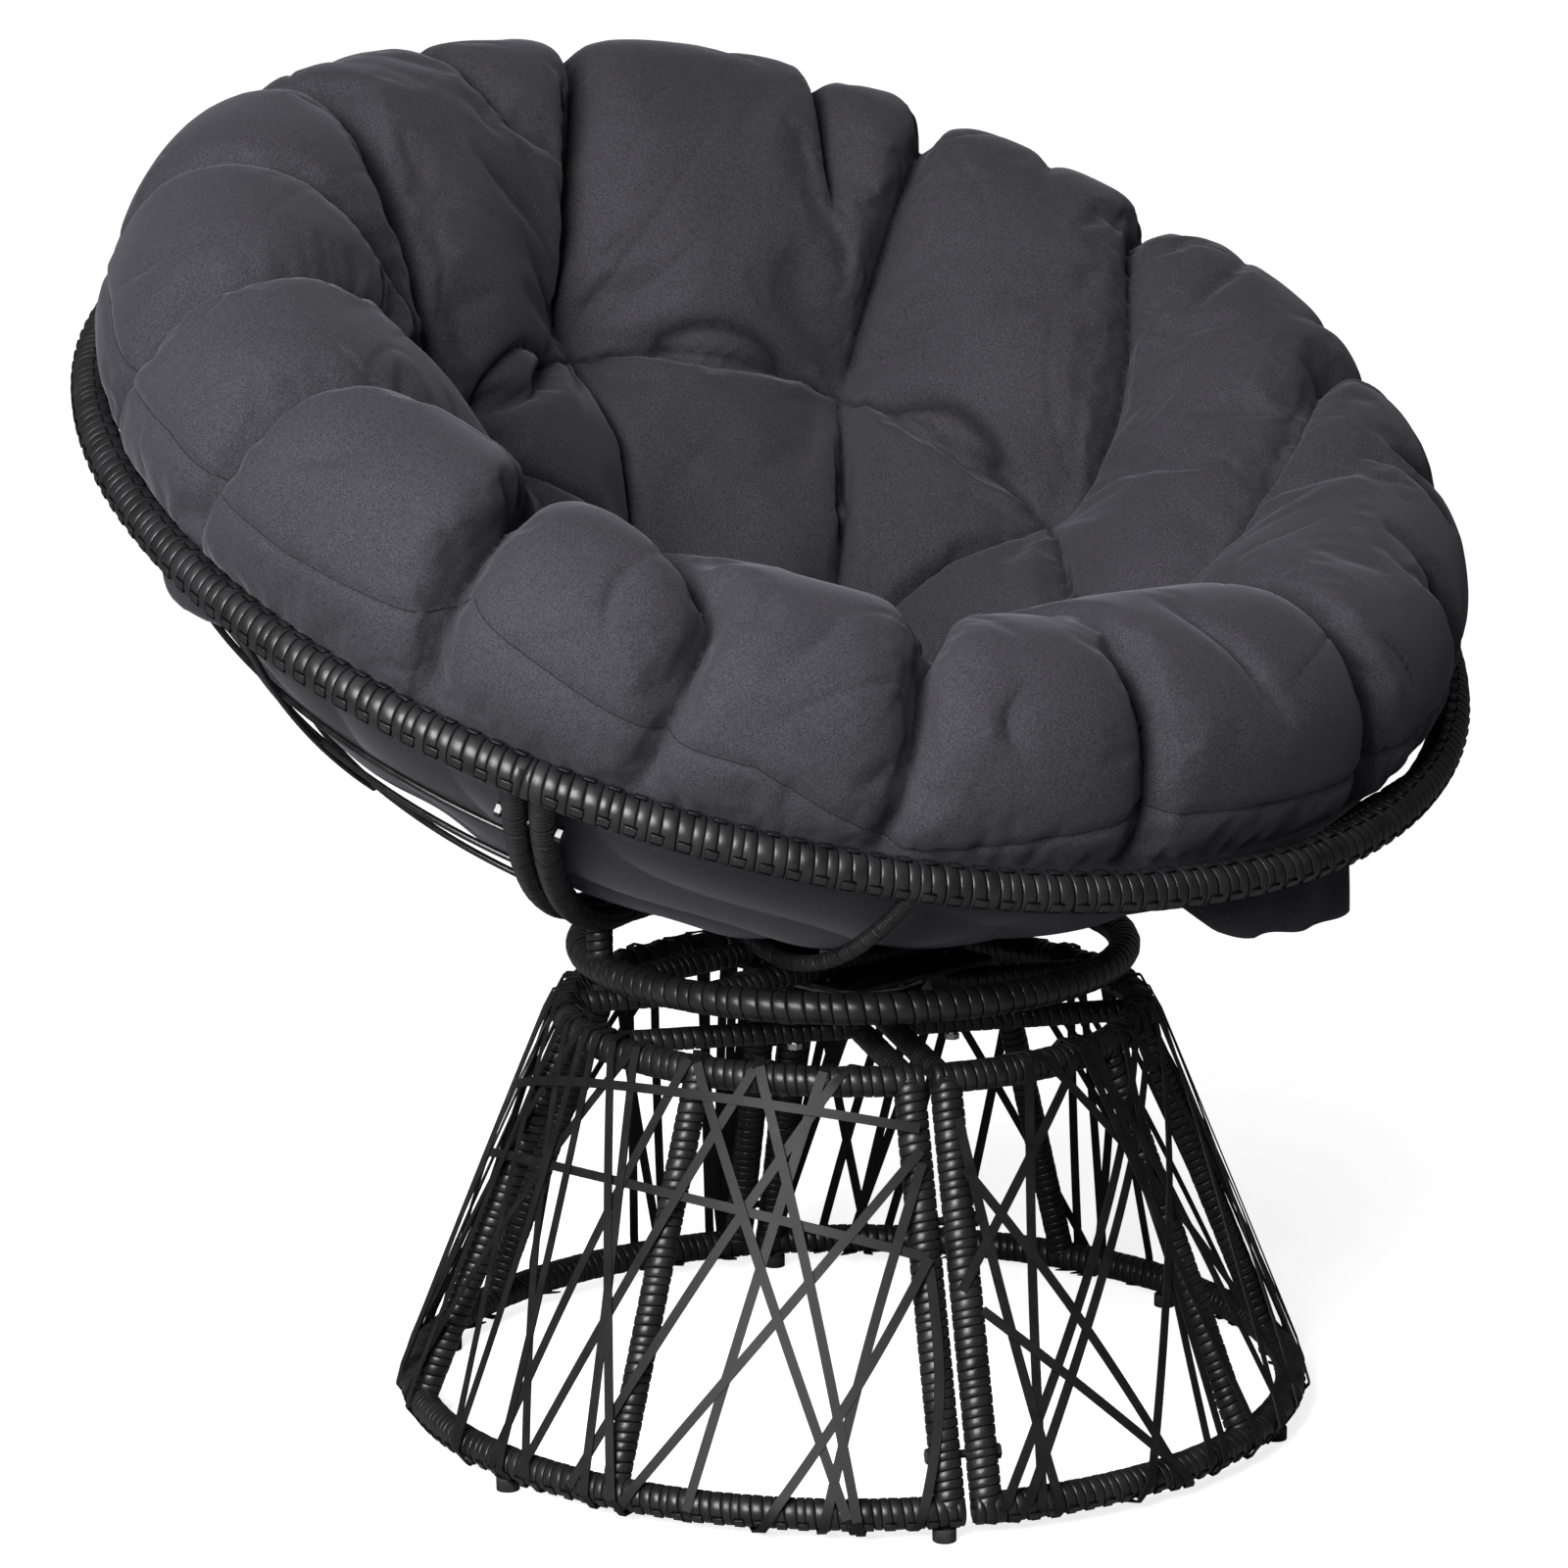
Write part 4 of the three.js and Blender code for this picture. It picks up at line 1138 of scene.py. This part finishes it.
def pad_outline(places):
    """From a unit ball to the pad, in the bowl's own frame."""
    length = np.arccos(np.clip(-places[:, 2], -1, 1)) / np.pi * outline_total
    turn = np.degrees(np.arctan2(-places[:, 0], -places[:, 1]))
    radius = np.interp(length, outline_lengths, outline[:, 0])
    height = np.interp(length, outline_lengths, outline[:, 1])
    angle = np.radians(turn)
    forward = np.cos(angle)
    on_top = np.clip((length - waist_length) / top_ease, 0, 1)
    draw = np.clip(forward, 0, 1) ** 2 * np.clip(1 - np.abs(length - boxing_length) / front_reach, 0, 1)
    out = np.stack([np.interp(length, outline_lengths, outline_out[:, k]) for k in (0, 1)], 1)
    dip, _ = fold_dip(turn, length, radius)
    dip = np.maximum(dip, tuft_dip(ring_rows(radius, angle, height)) * in_dish(length))
    swell = 0.004 * np.sin(3 * angle + 1) + 0.003 * np.sin(5 * angle + 2.2)
    total = dip - (crown_swell + swell) * on_top
    new_radius = np.maximum(radius - front_draw * draw - out[:, 0] * total, 0)
    tilt = np.where(forward < 0, back_rise, front_drop) * forward * on_top
    return ring_rows(new_radius, angle, height - tilt - out[:, 1] * total)


def pad_coordinates(places):
    """The turn of each point of the made pad, how far along the outline it lies, its radius, and the way out
    of the pad there."""
    turn = np.degrees(np.arctan2(-places[:, 0], -places[:, 1]))
    radius = np.hypot(places[:, 0], places[:, 1])
    tree = KDTree(len(outline))
    for index, (r, h) in enumerate(outline):
        tree.insert((r, h, 0), index)
    tree.balance()
    nearest = np.array([tree.find((r, h, 0))[1] for r, h in zip(radius, places[:, 2])])
    return turn, outline_lengths[nearest], radius, outline_out[nearest]


bpy.ops.mesh.primitive_uv_sphere_add(segments=pad_columns, ring_count=pad_rows, radius=1)
pad = bpy.context.object
pad.name = "cushion_sewn"
move_vertices(pad, pad_outline)
remesh = pad.modifiers.new("even", "REMESH")
remesh.mode = "VOXEL"
remesh.voxel_size = pad_voxel
apply_modifiers(pad)

start_places = vertex_rows(pad)
turn, length, radius, _ = pad_coordinates(start_places)
_, close = fold_dip(turn, length, radius)
under = np.clip((waist_length + waist_margin - length) / held_waist_ease, 0, 1)
tied = tuft_dip(start_places) > tuft_depth * held_tuft_share
held = np.maximum(np.maximum(close > held_closeness, under), tied * (length > wall_length))
pins = pad.vertex_groups.new(name="held")
for index in np.nonzero(held > 0.05)[0]:
    pins.add([int(index)], float(held[index]), "REPLACE")
cloth = pad.modifiers.new("cloth", "CLOTH")
cloth.settings.quality = 5
cloth.settings.mass = 0.25
cloth.settings.tension_stiffness = 12
cloth.settings.compression_stiffness = 12
cloth.settings.shear_stiffness = 4
cloth.settings.bending_stiffness = 0.25
cloth.settings.use_pressure = True
cloth.settings.uniform_pressure_force = 2.4
cloth.settings.shrink_min = -0.05
cloth.settings.vertex_group_mass = "held"
cloth.settings.effector_weights.gravity = 0
cloth.collision_settings.use_collision = False
scene = bpy.context.scene
for number in range(1, sim_frames + 1):
    scene.frame_set(number)
apply_modifiers(pad)
moved = vertex_rows(pad) - start_places
far = np.linalg.norm(moved, axis=1, keepdims=True)
moved *= np.minimum(1, puff_cap / np.maximum(far, 1e-9))
move_vertices(pad, lambda places: start_places + moved)

fine = pad.modifiers.new("fine", "SUBSURF")
fine.levels = 1
fine.render_levels = 1
apply_modifiers(pad)


def seam_height(turn):
    turns, heights = np.array(seam_heights, float).T
    return np.interp((turn - turns[0]) % 360 + turns[0], turns, heights) / 1000


turn, length, radius, out = pad_coordinates(vertex_rows(pad))
creased = np.maximum(
    fold_dip(turn, length, radius, crisp=True)[0], tuft_dip(vertex_rows(pad), crisp=True) * in_dish(length)
)
# Painted shade: this attribute darkens the fabric's colour along the crisp creases, where shade falls.
crease_share = pad.data.attributes.new("crease_share", "FLOAT", "POINT")
crease_share.data.foreach_set("value", np.clip(creased / crisp_depth, 0, 1) ** 2)


def sewn_in(places):
    """Draws the finished pad in along its folds and its boxing seam, and keeps it off the rim."""
    angle = np.radians(turn)
    on_side = np.clip((shoulder_length + side_margin - length) / side_ease, 0, 1)
    away = np.abs(places[:, 2] + edge_sway * np.cos(angle) - seam_height(turn))
    dip = creased + seam_depth * np.exp(-((away / seam_reach) ** 2)) * on_side
    below = np.clip((waist_length - waist_margin - length) / slack_ease, 0, 1)
    sag = np.sin(5 * angle + 22 * radius + 1.6 * np.sin(7 * angle + 9 * radius))
    crease = 1 - np.abs(np.sin(9 * angle - 31 * radius + 1.3 * np.sin(4 * angle + 17 * radius)))
    dip = dip + slack_depth * below * (0.6 + 0.6 * sag + crease)
    beside = (turn - bulge_turn) / bulge_half_turn
    under = (length - waist_length + bulge_below_waist) / bulge_reach
    dip = dip - bulge_rise * np.exp(-(beside**2)) * np.exp(-(under**2))
    radius_now = radius - out[:, 0] * dip
    height = places[:, 2] - out[:, 1] * dip
    reach = rim_tube / 2 + rim_clearance
    from_rim = np.hypot(radius_now - rim_radius, height)
    push = np.where(from_rim < reach, reach / np.maximum(from_rim, 1e-6), 1)
    return ring_rows(rim_radius + (radius_now - rim_radius) * push, angle, height * push)


move_vertices(pad, sewn_in)
pad_surface = BVHTree.FromPolygons(
    [vertex.co.copy() for vertex in pad.data.vertices], [tuple(face.vertices) for face in pad.data.polygons]
)


def seam_points():
    """The boxing seam's line round the pad's side, found by looking in at it from outside."""
    for turn in np.arange(0, 360, thread_step):
        height = float(seam_height(turn)) - edge_sway * math.cos(math.radians(turn))
        hit, _, _, _ = pad_surface.ray_cast(on_circle(ray_start_radius, turn, height), on_circle(-1, turn))
        if hit is not None:
            yield hit


boxing_seam = wire("cushion_boxing_seam", list(seam_points()), thread_diameter, closed=True, sides=1)
for piece in (pad, boxing_seam):
    place(piece, bowl_matrix)
    select_only(piece)
    bpy.ops.object.shade_smooth()

fabric_dark = (0.0128, 0.0123, 0.0153, 1)
fabric_light = (0.0405, 0.0388, 0.0468, 1)
fabric_painted_crease_shade = (0.0035, 0.0034, 0.004, 1)


def fabric_finish(name, shade=1.0):
    """Heathered polyester: two close charcoals in a fine weave, with painted shade in its creases and a soft
    sheen.
    """
    paint = Finish(name)
    heather = paint.noise(scale=1300.0, detail=1.0)
    slub = paint.noise(scale=520.0, detail=2.0)
    cloud = paint.noise(scale=6.0, detail=2.0)
    # The crease attribute darkens the colour in the creases: painted shade.
    crease = paint.node("ShaderNodeAttribute", {"attribute_name": "crease_share"}, output="Fac")
    mix = 0.72 * heather + 0.16 * slub + 0.12 * cloud - 0.45 * crease
    dark, light = shaded(fabric_dark, shade), shaded(fabric_light, shade)
    return paint.finish(
        Base_Color=paint.ramp(mix, (0.1, fabric_painted_crease_shade), (0.40, dark), (0.63, light)),
        Roughness=0.8 + 0.14 * heather,
        Normal=paint.bump(heather + 0.4 * slub, strength=0.3, distance=0.0003),
        Sheen_Weight=0.12,
        Sheen_Roughness=0.4,
        Sheen_Tint=(0.8, 0.78, 0.9, 1),
        Specular_IOR_Level=0.2,
    )


fabric = fabric_finish("heathered_polyester")
# The seam thread is a darker copy of the fabric, which also paints the shade along the seam line.
seam_shade_thread = fabric_finish("seam_thread_painted_shade", shade=0.35)
for piece, finish in ((pad, fabric), (boxing_seam, seam_shade_thread)):
    stand_for(dress(piece, finish), "seat", "fabric", "cushion")

# A slack corner of the sack hangs out under the rim at the front, on the sitter's left. It is one layer of
# the same woven polyester, which falls from the cushion's edge in shallow ripples.
flap_turns = (6, -17)
flap_drops = (0.018, 0.042, 0.056, 0.060, 0.063, 0.064)
flap_radius = 0.4805
flap_top_height = -0.006
flap_columns = 48
flap_rows = 12
flap_ripple = 0.0025
flap_hem_ripple = 0.002
flap_thickness = 0.0012

bpy.ops.mesh.primitive_grid_add(x_subdivisions=flap_columns, y_subdivisions=flap_rows, size=1)
flap = bpy.context.object
flap.name = "cushion_flap"


def hang(places):
    share, fall = places[:, 0] + 0.5, 0.5 - places[:, 1]
    drop = np.interp(share, np.linspace(0, 1, len(flap_drops)), flap_drops)
    rows = []
    for along_edge, down, far in zip(share, fall, drop):
        turn = flap_turns[0] + (flap_turns[1] - flap_turns[0]) * along_edge
        ripple = flap_ripple * down * math.sin(19 * along_edge + 2 * down)
        top = bowl_matrix @ on_circle(flap_radius + ripple, turn, flap_top_height)
        rows.append(top - Vector((0, 0, far * down + flap_hem_ripple * math.sin(9 * along_edge) * down)))
    return np.array(rows)


move_vertices(flap, hang)
cloth_body = flap.modifiers.new("cloth_body", "SOLIDIFY")
cloth_body.thickness = flap_thickness
apply_modifiers(flap)
bpy.ops.object.shade_smooth()
stand_for(dress(flap, fabric), "seat", "fabric", "cushion")

# Plain soft studio light over a pale floor: a softbox on the left, a broad lamp overhead, and a white
# surround and floor that the camera sees, but which light the chair only a little.
softbox_place = Vector((-2.45, -1.1, 1.75))
softbox_aim = Vector((0, 0, 0.6))
softbox_size = 1.5
softbox_power = 185
overhead_from = Vector((-0.45, -0.1, 0.88))
overhead_strength = 0.9
overhead_spread = math.radians(60)
surround_light = 0.08
floor_size = 60
floor_seen = (0.75, 0.75, 0.75, 1)
floor_glow = (0.8, 0.8, 0.8, 1)
floor_lighting = (0.22, 0.22, 0.22, 1)
unlit = (0, 0, 0, 1)
white = (1, 1, 1, 1)

bpy.ops.mesh.primitive_plane_add(size=floor_size)
floor = bpy.context.object
floor.name = "floor"
floor_paint = Finish("floor_white")
seen = floor_paint.node("ShaderNodeLightPath", output="Is Camera Ray")
floor_paint.finish(
    Base_Color=floor_paint.ramp(seen, (0, floor_lighting), (1, floor_seen)),
    Emission_Color=floor_paint.ramp(seen, (0, unlit), (1, floor_glow)),
    Emission_Strength=1,
    Roughness=0.9,
    Specular_IOR_Level=0.1,
)
dress(floor, floor_paint.material)


def facing(way):
    return way.to_track_quat("Z", "Y").to_euler()


bpy.ops.object.light_add(type="SUN", rotation=facing(overhead_from))
overhead = bpy.context.object
overhead.name = "overhead_light"
overhead.data.energy = overhead_strength
overhead.data.angle = overhead_spread

bpy.ops.object.light_add(type="AREA", location=softbox_place, rotation=facing(softbox_place - softbox_aim))
softbox = bpy.context.object
softbox.name = "softbox"
softbox.data.size = softbox_size
softbox.data.energy = softbox_power

studio = Finish("studio", "worlds", "Background")
bpy.context.scene.world = studio.finish(Color=white, Strength=surround_light)
lighting = Socket(studio, studio.shader.outputs[0])
backdrop = studio.node("ShaderNodeBackground", {}, [white, 1])
seen = studio.node("ShaderNodeLightPath", output="Is Camera Ray")
chosen = studio.node("ShaderNodeMixShader", {}, [seen, lighting, backdrop])
studio.set(studio.nodes["World Output"].inputs["Surface"], chosen)
bpy.context.scene.view_settings.view_transform = "Standard"
